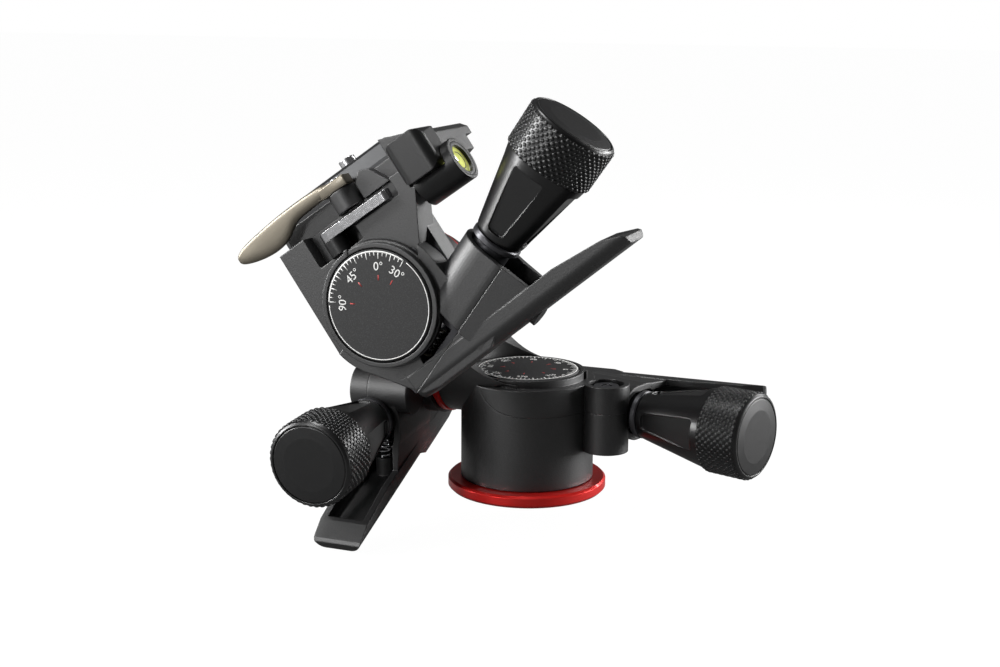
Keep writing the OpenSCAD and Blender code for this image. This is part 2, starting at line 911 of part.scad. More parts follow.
module elbow() {
    face_z = base_t + pan_axis_h + pan_face_rise;
    difference() {
        translate([-(tilt_ring_x - ring_t), 0, tilt_z])
            rotate([0, 90, 0])
                cylinder(r = elbow_r, h = tilt_ring_x - ring_t + 4);
        translate([3.5, 40, face_z + 1.6 + elbow_curve_r])
            rotate([90, 0, 0])
                cylinder(r = elbow_curve_r, h = 80, $fn = 96);
        translate([0, 0, face_z])
            cylinder(r = dial_r + dial_gap + dial_rim_t + 1, h = 60);
        translate([0, 0, base_t])
            cylinder(r = body_r - 2, h = face_z - base_t);
        in_pan()
            difference() {
                translate([0, 0, 1])
                    cylinder(r = 40, h = pan_face_rise - 1);
                pan_left_zone();
            }
    }
}

// What the pan housing keeps of the cap's zone: the left part, round the spindle bush.
module pan_left_part() {
    intersection() {
        pan_left_zone();
        difference() {
            translate([0, 0, 1])
                cylinder(r = 60, h = pan_face_rise - 1);
            cylinder(r = spindle_r + 8, h = 60);
        }
    }
}

module pan_housing() {
    a = pan_axis_h;
    f = pan_face_rise;
    color([0.12, 0.12, 0.13])
        difference() {
            union() {
                in_pan()
                    housing(a, f, true)
                        difference() {
                            cap_zone(f);
                            pan_left_part();
                        }
                elbow();
            }
            in_pan() {
                screw_holes(a, f, false, fit_gap);
                rocker_pin_hole();
            }
            translate([-(tilt_ring_x - ring_t + spindle_stub), 0, tilt_z])
                rotate([0, 90, 0])
                    cylinder(r = spindle_r + fit_gap / 2, h = 2 * spindle_stub);
        }
}

module pan_cap() {
    color([0.12, 0.12, 0.13])
        in_pan()
            difference() {
                cap(pan_axis_h, pan_face_rise, true, -8);
                pan_left_part();
            }
}

module pan_wheel() { color("goldenrod") in_pan() unit_wheel(pan_axis_h, pan_face_rise); }
module pan_bushings() { color("tan") in_pan() bushings(pan_axis_h, pan_face_rise); }
module pan_worm() { color("silver") in_pan() worm(); }
module pan_worm_bushes() { color("tan") in_pan() worm_bushes(); }
module pan_rocker() { color([0.15, 0.15, 0.16]) in_pan() rocker(); }
module pan_rocker_pin() { color("silver") in_pan() rocker_pin(); }
module pan_spring() { color("silver") in_pan() release_spring(); }
module pan_knob() { color([0.1, 0.1, 0.1]) in_pan() knob(); }
module pan_knob_cap() { color([0.08, 0.08, 0.08]) in_pan() knob_cap(); }
module pan_screws() { color("dimgray") in_pan() cap_screws(pan_axis_h, pan_face_rise, true); }
module pan_dial() {
    color([0.05, 0.05, 0.05])
        in_pan()
            translate([0, 0, pan_face_rise + dial_gap])
                dial();
}

// ---- Tilt unit ----

module unit_ring() {
    bore_r = flange_r + fit_gap / 2;
    translate([0, 0, -axis_h - ring_t])
        rotate_extrude()
            polygon([[bore_r, 0], [ring_r - 0.5, 0], [ring_r, 0.5], [ring_r, ring_t - 0.5],
                [ring_r - 0.5, ring_t], [bore_r, ring_t]]);
}

// Spindle with a flange in the ring and a stub in the casting behind it.
module unit_spindle() {
    low = -axis_h - ring_t;
    top = face_rise + dial_gap;
    rotate_extrude()
        polygon([[0, low - spindle_stub], [spindle_r, low - spindle_stub], [spindle_r, low], [flange_r, low],
            [flange_r, -axis_h + 0.1], [spindle_r, -axis_h + 0.1], [spindle_r, top], [0, top]]);
}

// Arm from the tilt housing to the ring of the roll unit.
module roll_arm() {
    back_y = -(roll_ring_y - ring_t);
    inner_x = -(tilt_ring_x + 2 * ring_gap);
    translate([-roll_x, back_y, roll_z])
        rotate([-90, 0, 0]) {
            cylinder(r = arm_disc_r, h = arm_step_t);
            cylinder(r = arm_disc_r - 2, h = arm_t);
        }
    translate([-(roll_x + arm_disc_r), 0, 0])
        rotate([90, 0, 90])
            linear_extrude(inner_x + roll_x + arm_disc_r)
                hull() {
                    translate([0, tilt_z])
                        circle(r = body_r - 1);
                    translate([back_y, roll_z - 14])
                        square([arm_t, 28]);
                }
}

module tilt_housing() {
    color([0.12, 0.12, 0.13])
        difference() {
            union() {
                in_tilt()
                    housing(axis_h, face_rise, true);
                difference() {
                    roll_arm();
                    in_tilt() {
                        translate([0, 0, -axis_h - 1])
                            cylinder(r = body_r - 2, h = 60);
                        unit_cavity(axis_h, face_rise);
                        cap_zone(face_rise);
                        screw_holes(axis_h, face_rise, true, fit_gap);
                        rocker_pin_hole();
                    }
                }
            }
            translate([-roll_x, -(roll_ring_y - ring_t) + spindle_stub, roll_z])
                rotate([90, 0, 0])
                    cylinder(r = spindle_r + fit_gap / 2, h = 2 * spindle_stub);
        }
}

module tilt_ring() { color("firebrick") in_tilt() unit_ring(); }
module tilt_spindle() { color("silver") in_tilt() unit_spindle(); }
module tilt_cap() { color([0.12, 0.12, 0.13]) in_tilt() cap(axis_h, face_rise, true, 115); }
module tilt_wheel() { color("goldenrod") in_tilt() unit_wheel(axis_h, face_rise); }
module tilt_bushings() { color("tan") in_tilt() bushings(axis_h, face_rise); }
module tilt_worm() { color("silver") in_tilt() worm(); }
module tilt_worm_bushes() { color("tan") in_tilt() worm_bushes(); }
module tilt_rocker() { color([0.15, 0.15, 0.16]) in_tilt() rocker(); }
module tilt_rocker_pin() { color("silver") in_tilt() rocker_pin(); }
module tilt_spring() { color("silver") in_tilt() release_spring(); }
module tilt_knob() { color([0.1, 0.1, 0.1]) in_tilt() knob(); }
module tilt_knob_cap() { color([0.08, 0.08, 0.08]) in_tilt() knob_cap(); }
module tilt_screws() { color("dimgray") in_tilt() cap_screws(axis_h, face_rise, true); }
module tilt_dial() {
    color([0.05, 0.05, 0.05])
        in_tilt()
            translate([0, 0, face_rise + dial_gap])
                dial();
}

// ---- Roll unit ----

module neck_outline() {
    polygon([[-neck_left, -6], [-neck_left, neck_top], [neck_right, neck_top], [neck_right, box_low - 0.1],
        [neck_right + 1.6, box_low - 0.1], [neck_right + 1.4, box_low - 0.7], [19.4, 4], [0, 0]]);
}

module neck() {
    difference() {
        union() {
            translate([0, 0, -neck_back])
                linear_extrude(neck_back + neck_front)
                    neck_outline();
            translate([-neck_left, 0, -lever_w / 2])
                cube([2 * neck_left, neck_top, lever_w / 2]);
        }
        translate([0, 0, cap_seam_z])
            cylinder(r = neck_cap_r + cast_gap, h = 20);
        translate([0, 0, cap_seam_z - 22])
            cylinder(r = body_r - 3, h = 22);
        screw_holes(axis_h, face_rise, false, fit_gap);
    }
}

// Hollow in the front of the neck behind the safety catch.
module catch_hollow() {
    translate([-14, catch_low, catch_hollow_z])
        cube([20, 12, 12]);
    translate([-14, catch_top - 0.5, catch_hollow_z])
        cube([40, 12, 12]);
}

module neck_zone() {
    translate([0, 0, cap_seam_z])
        linear_extrude(20)
            difference() {
                neck_outline();
                circle(r = neck_cap_r);
            }
}

module roll_housing() {
    color([0.12, 0.12, 0.13])
        in_roll()
            difference() {
                union() {
                    housing(axis_h, face_rise, false);
                    neck();
                }
                catch_hollow();
                for (x = platform_screw_x)
                    translate([x, neck_top + 1, platform_screw_z])
                        rotate([90, 0, 0])
                            cylinder(r = screw_r + fit_gap, h = 10);
            }
}

module roll_cap() {
    color([0.12, 0.12, 0.13])
        in_roll()
            difference() {
                cap(axis_h, face_rise, false, 90);
                neck_zone();
                catch_hollow();
            }
}

module roll_ring() { color("firebrick") in_roll() unit_ring(); }
module roll_spindle() { color("silver") in_roll() unit_spindle(); }
module roll_wheel() { color("goldenrod") in_roll() unit_wheel(axis_h, face_rise); }
module roll_bushings() { color("tan") in_roll() bushings(axis_h, face_rise); }
module roll_worm() { color("silver") in_roll() worm(); }
module roll_worm_bushes() { color("tan") in_roll() worm_bushes(); }
module roll_rocker() { color([0.15, 0.15, 0.16]) in_roll() rocker(); }
module roll_rocker_pin() { color("silver") in_roll() rocker_pin(); }
module roll_spring() { color("silver") in_roll() release_spring(); }
module roll_knob() { color([0.1, 0.1, 0.1]) in_roll() knob(); }
module roll_knob_cap() { color([0.08, 0.08, 0.08]) in_roll() knob_cap(); }
module roll_screws() { color("dimgray") in_roll() cap_screws(axis_h, face_rise, false); }
module roll_dial() {
    color([0.05, 0.05, 0.05])
        in_roll()
            translate([0, 0, face_rise + dial_gap])
                dial();
}

// ---- Clamp platform, in the frame of the roll unit ----

function plate_bevel_at(h) = plate_bevel * (h - plate_edge) / (plate_t - plate_edge);

// Extrusion of an (x, z) outline upwards from one height to another.
module across(from_y, to_y) {
    translate([0, to_y, 0])
        rotate([90, 0, 0])
            linear_extrude(to_y - from_y)
                children();
}

module platform() {
    color([0.16, 0.16, 0.17])
        in_roll()
            difference() {
                union() {
                    across(neck_top, seat_h)
                        polygon([[slab_left + 4, slab_front], [slab_right, slab_front],
                            [slab_right, slab_back + 6], [slab_right - 6, slab_back],
                            [slab_left + 6, slab_back], [slab_left, slab_back + 6], [slab_left, slab_front - 5]]);
                    translate([0, 0, slab_back])
                        linear_extrude(slab_front - slab_back)
                            polygon([[plate_l / 2 + plate_gap, seat_h - 1], [plate_l / 2 + plate_gap, seat_h + 7.2],
                                [slab_right - 2, seat_h + 4.4], [slab_right, seat_h + 2], [slab_right, seat_h - 1]]);
                    translate([slab_left + 6, 0, 0])
                        rotate([90, 0, 90])
                            linear_extrude(plate_l / 2 - slab_left - 5)
                                polygon([[seat_h - 1, slab_back], [seat_h + lip_h, slab_back + 0.6],
                                    [seat_h + lip_h, plate_back - plate_gap + plate_bevel_at(lip_h)],
                                    [seat_h + plate_edge, plate_back - plate_gap],
                                    [seat_h - 1, plate_back - plate_gap]]);
                    across(neck_top, seat_h)
                        translate(cam_pivot)
                            circle(r = cam_foot_r);
                    translate([0, 0, slab_front - 1])
                        linear_extrude(4.6)
                            polygon([[12, neck_top], [12, seat_h - 1], [15.5, seat_h + 2],
                                    [19, seat_h + 0.5], [23.5, neck_top]]);
                }
                across(neck_top - 1, seat_h + 1)
                    translate(cam_pivot)
                        circle(r = cam_pin_r + fit_gap);
                translate([0, 0, plate_z])
                    rotate([-90, 0, 0])
                        translate([0, 0, seat_h - 3])
                            cylinder(r = 11, h = 5);
                for (x = platform_screw_x)
                    translate([x, seat_h + 1, platform_screw_z])
                        rotate([90, 0, 0]) {
                            cylinder(r = screw_head_r + 0.2, h = 3.4);
                            cylinder(r = screw_r + fit_gap, h = 12);
                        }
            }
}

module platform_screws() {
    color("dimgray")
        in_roll()
            for (x = platform_screw_x)
                translate([x, seat_h - 0.4, platform_screw_z])
                    rotate([90, 0, 0]) {
                        socket_head(screw_head_r, screw_head_t);
                        translate([0, 0, 1.2])
                            cylinder(r = screw_r, h = 13);
                    }
}

// Plate with bevelled long sides and a hollow for the screw head.
module quick_plate() {
    half_w = plate_w / 2;
    color([0.3, 0.3, 0.32])
        in_roll()
            difference() {
                translate([-plate_l / 2, 0, plate_z])
                    rotate([90, 0, 90])
                        linear_extrude(plate_l)
                            polygon([[seat_h, -half_w], [seat_h, half_w], [seat_h + plate_edge, half_w],
                                [seat_h + plate_t, half_w - plate_bevel], [seat_h + plate_t, -half_w + plate_bevel],
                                [seat_h + plate_edge, -half_w]]);
                translate([0, seat_h, plate_z])
                    rotate([-90, 0, 0]) {
                        translate([0, 0, -1])
                            cylinder(r = camera_head_r + 0.8, h = 1 + screw_hollow);
                        cylinder(r = camera_neck_r + 2 * fit_gap, h = 30);
                    }
            }
}

module plate_pad() {
    color([0.08, 0.08, 0.08])
        in_roll()
            difference() {
                across(seat_h + plate_t, seat_h + plate_t + pad_t)
                    translate([0, plate_z])
                        square([plate_l - 1.6, plate_w - 6.4], center = true);
                translate([0, seat_h, plate_z])
                    rotate([-90, 0, 0])
                        cylinder(d = camera_screw_d + 1, h = 30);
            }
}

module camera_screw() {
    coin_slot_w = 1.6;
    color("silver")
        in_roll()
            translate([0, camera_screw_low, plate_z])
                rotate([-90, 0, 0])
                    difference() {
                        union() {
                            cylinder(r = camera_head_r, h = camera_head_t);
                            cylinder(r = camera_neck_r, h = camera_thread_low + 1 - camera_screw_low);
                            translate([0, 0, camera_thread_low - camera_screw_low])
                                cylinder(d = camera_screw_d, h = camera_screw_top - camera_thread_low);
                        }
                        translate([-coin_slot_w / 2, -camera_head_r - 1, -1])
                            cube([coin_slot_w, 2 * camera_head_r + 2, 2]);
                    }
}

// Folding ring that turns the camera screw, folded flat under its head.
module screw_ring() {
    wire_r = 0.7;
    loop_r = camera_head_r - 2;
    color("gainsboro")
        in_roll()
            translate([0, camera_screw_low - wire_r, plate_z])
                rotate([-90, 0, 0]) {
                    rotate_extrude(angle = 180)
                        translate([loop_r, 0])
                            circle(r = wire_r, $fn = 16);
                    translate([-loop_r, 0, 0])
                        rotate([0, 90, 0])
                            cylinder(r = wire_r, h = 2 * loop_r, $fn = 16);
                }
}

// Clamp lever: an eccentric cam block with a swept grip.
module clamp_lever() {
    color([0.55, 0.5, 0.42])
        in_roll()
            difference() {
                union() {
                    across(seat_h + 0.2, cam_top)
                        union() {
                            translate([cam_pivot[0], cam_pivot[1] - cam_throw])
                                circle(r = cam_r);
                            translate([cam_pivot[0] - 6, cam_pivot[1] - 1])
                                square([11.5, 6]);
                        }
                    intersection() {
                        across(seat_h - 6, seat_h + 7)
                            polygon([[6, 1.1], [6, 5.4], [-16, 5], [-34, 5.8], [-41, 6.6], [-43, 5.4],
                                [-36, 2.4], [-16, 1.2]]);
                        translate([0, 0, -10])
                            linear_extrude(30)
                                translate([0, seat_h])
                                    polygon([[6, 0.2], [6, 4.6], [0.6, 5.6], [-8, 5.9], [-17.6, 5.8],
                                        [-28.2, 5], [-39.2, 3.7], [-42.4, 0.6], [-41.3, -1.7], [-34.2, -4.3],
                                        [-26, -5.2], [-20.4, -4.4], [-15.6, 0.2]]);
                    }
                }
                across(seat_h - 1, seat_h + 12)
                    translate(cam_pivot)
                        circle(r = cam_pin_r + fit_gap);
            }
}

module clamp_pin() {
    color("silver")
        in_roll()
            across(neck_top + 0.3, cam_top + 0.7)
                translate(cam_pivot)
                    circle(r = cam_pin_r);
}

module safety_post() {
    color([0.07, 0.07, 0.07])
        in_roll()
            across(catch_low, catch_top)
                translate(catch_at)
                    circle(r = catch_post_r);
}

module safety_lever() {
    color("gray")
        in_roll()
            across(catch_top, catch_top + catch_blade_t)
                hull() {
                    translate(catch_at)
                        circle(r = catch_post_r - 0.2);
                    translate([catch_at[0] + catch_len, catch_at[1] + 1])
                        circle(r = 2.6);
                }
}

module level_box() {
    color([0.08, 0.08, 0.08])
        in_roll()
            difference() {
                intersection() {
                    translate([0, 0, slab_front])
                        linear_extrude(box_front - slab_front)
                            hull()
                                for (x = [box_left + box_corner_r, box_right - box_corner_r])
                                    for (y = [box_low + box_corner_r, box_high - box_corner_r])
                                        translate([x, y])
                                            circle(r = box_corner_r);
                    across(box_low - 1, box_high + 1)
                        hull() {
                            translate([box_left + 1, slab_front - 1])
                                square([box_right - box_left - 2, 4]);
                            for (x = [box_left + box_corner_r, box_right - box_corner_r])
                                translate([x, box_front - box_corner_r])
                                    circle(r = box_corner_r);
                        }
                }
                vial_bore();
            }
}

module along_tube(from_x) {
    translate([from_x, vial_at[0], vial_at[1]])
        rotate([0, 90, 0])
            children();
}

module vial_bore() {
    along_tube(vial_floor)
        cylinder(r = vial_r + fit_gap, h = 20);
}

// Tube that holds the bubble vial, notched to fit under the level box.
module vial_housing() {
    color([0.09, 0.09, 0.09])
        in_roll()
            difference() {
                along_tube(tube_left)
                    cylinder(r = tube_r, h = tube_end - tube_left);
                vial_bore();
                along_tube(tube_end - 0.8)
                    cylinder(r = vial_r + 1.2, h = 2);
                translate([box_left - 1, box_low - 0.02, slab_front - 12])
                    cube([box_right - box_left + 1.02, 20, 40]);
            }
}

module vial() {
    color([0.8, 0.85, 0.3, 0.8])
        in_roll()
            along_tube(vial_floor)
                cylinder(r = vial_r, h = vial_len);
}

base_ring();
base_insert();
base_screws();
pan_housing();
pan_cap();
pan_wheel();
pan_spindle();
pan_bushings();
pan_worm();
pan_worm_bushes();
pan_rocker();
pan_rocker_pin();
pan_spring();
pan_knob();
pan_knob_cap();
pan_dial();
pan_screws();
tilt_ring();
tilt_housing();
tilt_cap();
tilt_wheel();
tilt_spindle();
tilt_bushings();
tilt_worm();
tilt_worm_bushes();
tilt_rocker();
tilt_rocker_pin();
tilt_spring();
tilt_knob();
tilt_knob_cap();
tilt_dial();
tilt_screws();
roll_ring();
roll_housing();
roll_cap();
roll_wheel();
roll_spindle();
roll_bushings();
roll_worm();
roll_worm_bushes();
roll_rocker();
roll_rocker_pin();
roll_spring();
roll_knob();
roll_knob_cap();
roll_dial();
roll_screws();
platform();
platform_screws();
quick_plate();
plate_pad();
camera_screw();
clamp_lever();
clamp_pin();
safety_lever();
safety_post();
level_box();
vial_housing();
vial();
screw_ring();
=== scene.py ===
"""Geared tripod head: looks, dial scales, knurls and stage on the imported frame."""

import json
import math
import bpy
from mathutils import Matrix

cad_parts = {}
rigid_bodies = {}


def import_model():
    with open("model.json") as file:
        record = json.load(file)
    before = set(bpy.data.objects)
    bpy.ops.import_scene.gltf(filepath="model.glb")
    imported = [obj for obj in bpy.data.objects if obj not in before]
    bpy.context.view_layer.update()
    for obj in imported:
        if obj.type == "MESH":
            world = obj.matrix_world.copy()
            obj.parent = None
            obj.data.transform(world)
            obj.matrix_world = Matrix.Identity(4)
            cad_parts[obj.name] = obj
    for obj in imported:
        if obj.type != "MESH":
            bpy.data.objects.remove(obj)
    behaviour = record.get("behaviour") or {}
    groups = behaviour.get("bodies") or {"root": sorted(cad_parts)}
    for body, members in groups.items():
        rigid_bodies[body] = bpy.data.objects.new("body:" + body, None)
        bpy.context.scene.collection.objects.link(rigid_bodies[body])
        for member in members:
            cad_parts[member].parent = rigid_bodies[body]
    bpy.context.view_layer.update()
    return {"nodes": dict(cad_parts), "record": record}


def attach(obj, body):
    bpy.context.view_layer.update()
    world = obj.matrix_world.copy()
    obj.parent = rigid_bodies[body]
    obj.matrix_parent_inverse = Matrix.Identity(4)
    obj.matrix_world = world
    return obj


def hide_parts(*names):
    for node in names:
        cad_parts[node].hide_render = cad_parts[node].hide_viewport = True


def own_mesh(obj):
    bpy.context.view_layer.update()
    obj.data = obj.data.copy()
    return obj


bl_info = {
    "name": "Geared Tripod Head",
    "version": (1, 0, 0),
    "blender": (4, 5, 0),
    "location": "View3D > Sidebar > Geared Head",
    "description": "Dresses the packed geared tripod head and sets up its studio",
    "category": "Object",
}

import bmesh
import bpy
from bpy.props import FloatProperty, FloatVectorProperty, IntProperty, PointerProperty
from mathutils import Matrix, Vector

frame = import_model()
MM = 0.001
UNITS = ("pan", "tilt", "roll")


# ---- Frames of the three gear units ----

def turn(axis, degrees):
    """Turn about an axis as a 3 x 3 matrix."""
    return Matrix.Rotation(math.radians(degrees), 3, axis)


# Lengths in millimetres, angles in degrees
LEVER_DEG = {"pan": 3.7, "tilt": 25.0, "roll": 35.0}
KNOB_RISE = 20.7
KNOB_START = 42.1
WORM_OFFSET = 18.4
SPRING_TOP = (29.0, -25.6, 0)
FACE_RISE = {"pan": 12.0, "tilt": 9.0, "roll": 9.0}
DIAL_RISE = 3.0
SEAT_H = 41.0
KNURL_FROM, KNURL_TO = 30.6, 44.2
KNURL_RADIUS, KNURL_SLOPE = 15.02, 0.0125
PRINT_DEPTH = 0.04
PAN_ZERO_DEG = 11.7
TICK_SHORT, TICK_LONG, TICK_WIDTH = 1.25, 2.3, 0.3
PAN_CIRCLE_WIDTH, CIRCLE_WIDTH, CIRCLE_GAP_DEG = 0.35, 0.3, 4
ARC_INSIDE, ARC_OUTSIDE, ARC_OVERRUN_DEG = 0.1, 0.42, 0.4
DASH_FROM, DASH_TO, DASH_HALF_DEG, DASH_TOP = 9.6, 7.8, 1.1, 0.03
VIAL_MOUTH = (49.8, 26.1, 0.4)
# Inner and outer radius, low and high, behind the mouth of the vial
VIAL_RIM, VIAL_RING = (5.1, 6.4, -0.78, -0.1), (3.0, 3.3, -1.38, -1.26)
BUBBLE_AT, BUBBLE_RADIUS, BUBBLE_HALF_H, BUBBLE_DEPTH = (-1.2, 1.6, 0), 2.1, 0.35, 1.4
PAD_LOW, PAD_HIGH = SEAT_H + 0.2, SEAT_H + 3.9
CAM_AT, CAM_RADIUS = (5.5, -1.2), 4.3
UNIT_TURN = {
    "pan": turn("Z", LEVER_DEG["pan"]) @ Matrix.Diagonal((1, -1, 1)),
    "tilt": turn("X", 90 + LEVER_DEG["tilt"]) @ turn("Y", -90),
    "roll": turn("Y", -LEVER_DEG["roll"]) @ turn("X", 90),
}
UNIT_AT = {"pan": Vector((0, 0, 30.9)), "tilt": Vector((-47, 0, 51.3)), "roll": Vector((-27.6, -59.3, 80.3))}


def in_unit(unit, point):
    """A point of a gear unit, in millimetres of the whole object."""
    return UNIT_AT[unit] + UNIT_TURN[unit] @ Vector(point)


def along_knob(unit, point):
    """A point given along the knob, in millimetres of the whole object."""
    return in_unit(unit, turn("Z", KNOB_RISE) @ Vector(point))


def seat(origin, x, z):
    """Matrix from millimetres at a right-handed seat to metres of the whole object."""
    x, z = x.normalized(), z.normalized()
    y = z.cross(x)
    m = Matrix((x, y, z)).transposed().to_4x4()
    return Matrix.Scale(MM, 4) @ Matrix.Translation(origin) @ m


def knob_seat(unit):
    """Seat at a knob's foot: x along the knob, z to the dial side."""
    foot = along_knob(unit, (KNOB_START, -WORM_OFFSET, 0))
    ahead = along_knob(unit, (KNOB_START + 1, -WORM_OFFSET, 0)) - foot
    return seat(foot, ahead, UNIT_TURN[unit] @ Vector((0, 0, 1)))


def dial_seat(unit):
    """Seat on a dial's face: x to the right of the print, z out of the face."""
    face = in_unit(unit, (0, 0, FACE_RISE[unit] + DIAL_RISE))
    out = UNIT_TURN[unit] @ Vector((0, 0, 1))
    right = {"pan": Vector((1, 0, 0)), "tilt": Vector((0, -1, 0)), "roll": Vector((1, 0, 0))}[unit]
    return seat(face, right, out)


def roll_seat():
    """Seat of the roll unit: x along the lever, y up to the platform, z to the dial."""
    return seat(UNIT_AT["roll"], UNIT_TURN["roll"] @ Vector((1, 0, 0)), UNIT_TURN["roll"] @ Vector((0, 0, 1)))


# ---- Settings ----

class ViewSettings(bpy.types.PropertyGroup):
    place: FloatVectorProperty(name="Camera place", description="Where the camera stands",
                               default=(0.19946, -0.53974, 0.18266), subtype="TRANSLATION", unit="LENGTH")
    azimuth: FloatProperty(name="Azimuth", description="Turn of the camera round the head",
                           default=math.radians(21.34), subtype="ANGLE", unit="ROTATION")
    elevation: FloatProperty(name="Elevation", description="Height of the camera as an angle",
                             default=math.radians(12.13), subtype="ANGLE", unit="ROTATION")
    roll: FloatProperty(name="Roll", description="Lean of the camera",
                        default=math.radians(0.42), subtype="ANGLE", unit="ROTATION")
    lens: FloatProperty(name="Lens", description="Focal length in millimetres", default=56.49, min=10, max=300)
    floor: FloatProperty(name="Floor height", description="Height of the floor under the base",
                         default=-0.0115, unit="LENGTH")
    key: FloatProperty(name="Key light", description="Power of the key light in watts", default=10.5, min=0)
    sky: FloatProperty(name="Sky", description="Strength of the plain sky", default=0.10, min=0)


class ColourSettings(bpy.types.PropertyGroup):
    casting: FloatVectorProperty(name="Castings", description="Textured black of the castings",
                                 default=(0.0045, 0.0045, 0.0048), subtype="COLOR", size=3, min=0, max=1)
    grip: FloatVectorProperty(name="Knobs", description="Matte black of the knobs",
                              default=(0.003, 0.003, 0.0032), subtype="COLOR", size=3, min=0, max=1)
    ring: FloatVectorProperty(name="Rings", description="Red of the anodised rings",
                              default=(0.72, 0.016, 0.013), subtype="COLOR", size=3, min=0, max=1)
    lever: FloatVectorProperty(name="Clamp lever", description="Pale bronze of the clamp lever",
                               default=(0.17, 0.152, 0.12), subtype="COLOR", size=3, min=0, max=1)
    plate: FloatVectorProperty(name="Plate", description="Grey of the quick-release plate",
                               default=(0.05, 0.051, 0.053), subtype="COLOR", size=3, min=0, max=1)
    fluid: FloatVectorProperty(name="Vial", description="Yellow-green of the vial",
                               default=(0.78, 0.82, 0.22), subtype="COLOR", size=3, min=0, max=1)


class KnurlSettings(bpy.types.PropertyGroup):
    around: IntProperty(name="Studs around", description="Studs in one ring of the knurl", default=42, min=12, max=90)
    rings: IntProperty(name="Rings", description="Rings of studs along the knurl", default=12, min=2, max=24)
    stud: FloatProperty(name="Stud size", description="Half width of one stud",
                        default=0.00095, min=0.0002, max=0.002, unit="LENGTH")
    rise: FloatProperty(name="Stud rise", description="How far a stud stands out of the band",
                        default=0.00042, min=0.0001, max=0.001, unit="LENGTH")


class ScaleSettings(bpy.types.PropertyGroup):
    step: FloatProperty(name="Tick step", description="Angle between two ticks",
                        default=math.radians(5), subtype="ANGLE", unit="ROTATION")
    every: IntProperty(name="Long tick every", description="Ticks from one long tick to the next", default=3, min=1)
    radius: FloatProperty(name="Scale radius", description="Outer radius of the ticks",
                          default=0.0184, min=0.01, max=0.0192, unit="LENGTH")
    figure: FloatProperty(name="Figure height", description="Height of the numbers",
                          default=0.0031, min=0.001, max=0.006, unit="LENGTH")


class SpringSettings(bpy.types.PropertyGroup):
    curls: IntProperty(name="Curls", description="Curls of a release spring", default=5, min=2, max=12)
    radius: FloatProperty(name="Radius", description="Middle radius of the spring",
                          default=0.0027, min=0.001, unit="LENGTH")
    wire: FloatProperty(name="Wire", description="Diameter of the spring wire",
                        default=0.0008, min=0.0002, unit="LENGTH")
    length: FloatProperty(name="Length", description="Length of the spring at rest",
                          default=0.0102, min=0.002, unit="LENGTH")


GROUPS = (
    ("head_view", ViewSettings), ("head_colours", ColourSettings), ("head_knurl", KnurlSettings),
    ("head_scale", ScaleSettings), ("head_spring", SpringSettings),
)


# ---- Shader maths ----

WHITE = (1, 1, 1, 1)


class Flow:
    """A shader socket that takes part in expressions."""

    def __init__(self, finish, socket):
        self.finish = finish
        self.socket = socket

    def _math(self, operation, first, second):
        return self.finish.node("ShaderNodeMath", {"operation": operation}, {0: first, 1: second})

    def __add__(self, other):
        return self._math("ADD", self, other)

    __radd__ = __add__

    def __mul__(self, other):
        return self._math("MULTIPLY", self, other)

    __rmul__ = __mul__

    def spread(self, low, high):
        """The flow from low to high, stretched to 0 to 1."""
        return self.finish.node("ShaderNodeMapRange", {"clamp": True},
                                {"Value": self, "From Min": low, "From Max": high})


class Shading:
    """A shader tree whose nodes all come from one method."""

    def __init__(self, tree, output):
        self.tree = tree
        tree.nodes.clear()
        self.output = tree.nodes.new(output)

    def feed(self, socket, value):
        if isinstance(value, Flow):
            self.tree.links.new(value.socket, socket)
        else:
            socket.default_value = value

    def node(self, kind, settings, sockets, out=0):
        made = self.tree.nodes.new(kind)
        for key, value in settings.items():
            setattr(made, key, value)
        for key, value in sockets.items():
            self.feed(made.inputs[key], value)
        return Flow(self, made.outputs[out])

    def ray(self, kind):
        """1 where the ray is of that kind, otherwise 0."""
        return self.node("ShaderNodeLightPath", {}, {}, kind)

    def show(self, shader):
        self.feed(self.output.inputs["Surface"], shader)


class Finish(Shading):
    """One procedural material, written as expressions."""

    def __init__(self, name):
        old = bpy.data.materials.get(name)
        if old:
            bpy.data.materials.remove(old)
        self.material = bpy.data.materials.new(name)
        self.material.use_nodes = True
        super().__init__(self.material.node_tree, "ShaderNodeOutputMaterial")
        self.body = self.node("ShaderNodeBsdfPrincipled", {}, {})
        self.show(self.body)
        self.place = self.node("ShaderNodeTexCoord", {}, {}, "Object")

    def noise(self, per_m, detail=2.0, rough=0.5, at=None):
        return self.node("ShaderNodeTexNoise", {}, {"Vector": at or self.place, "Scale": per_m,
                                                    "Detail": detail, "Roughness": rough}, "Fac")

    def blend(self, mask, first, second):
        first, second = (c if isinstance(c, Flow) else (*c, 1.0) for c in (first, second))
        return self.node("ShaderNodeMix", {"data_type": "RGBA"}, {0: mask, 6: first, 7: second}, 2)

    def bump(self, height, strength, depth_mm, soft_edge_mm=0.0):
        sockets = {"Height": height, "Strength": strength, "Distance": depth_mm * MM}
        if soft_edge_mm:
            sockets["Normal"] = self.node("ShaderNodeBevel", {"samples": 6}, {"Radius": soft_edge_mm * MM})
        return self.node("ShaderNodeBump", {}, sockets)

    def set(self, **values):
        for key, value in values.items():
            self.feed(self.body.socket.node.inputs[key.replace("_", " ")], value)
        return self.material


def tone(colour, factor):
    """A colour made lighter or darker."""
    return tuple(min(1.0, c * factor) for c in colour)


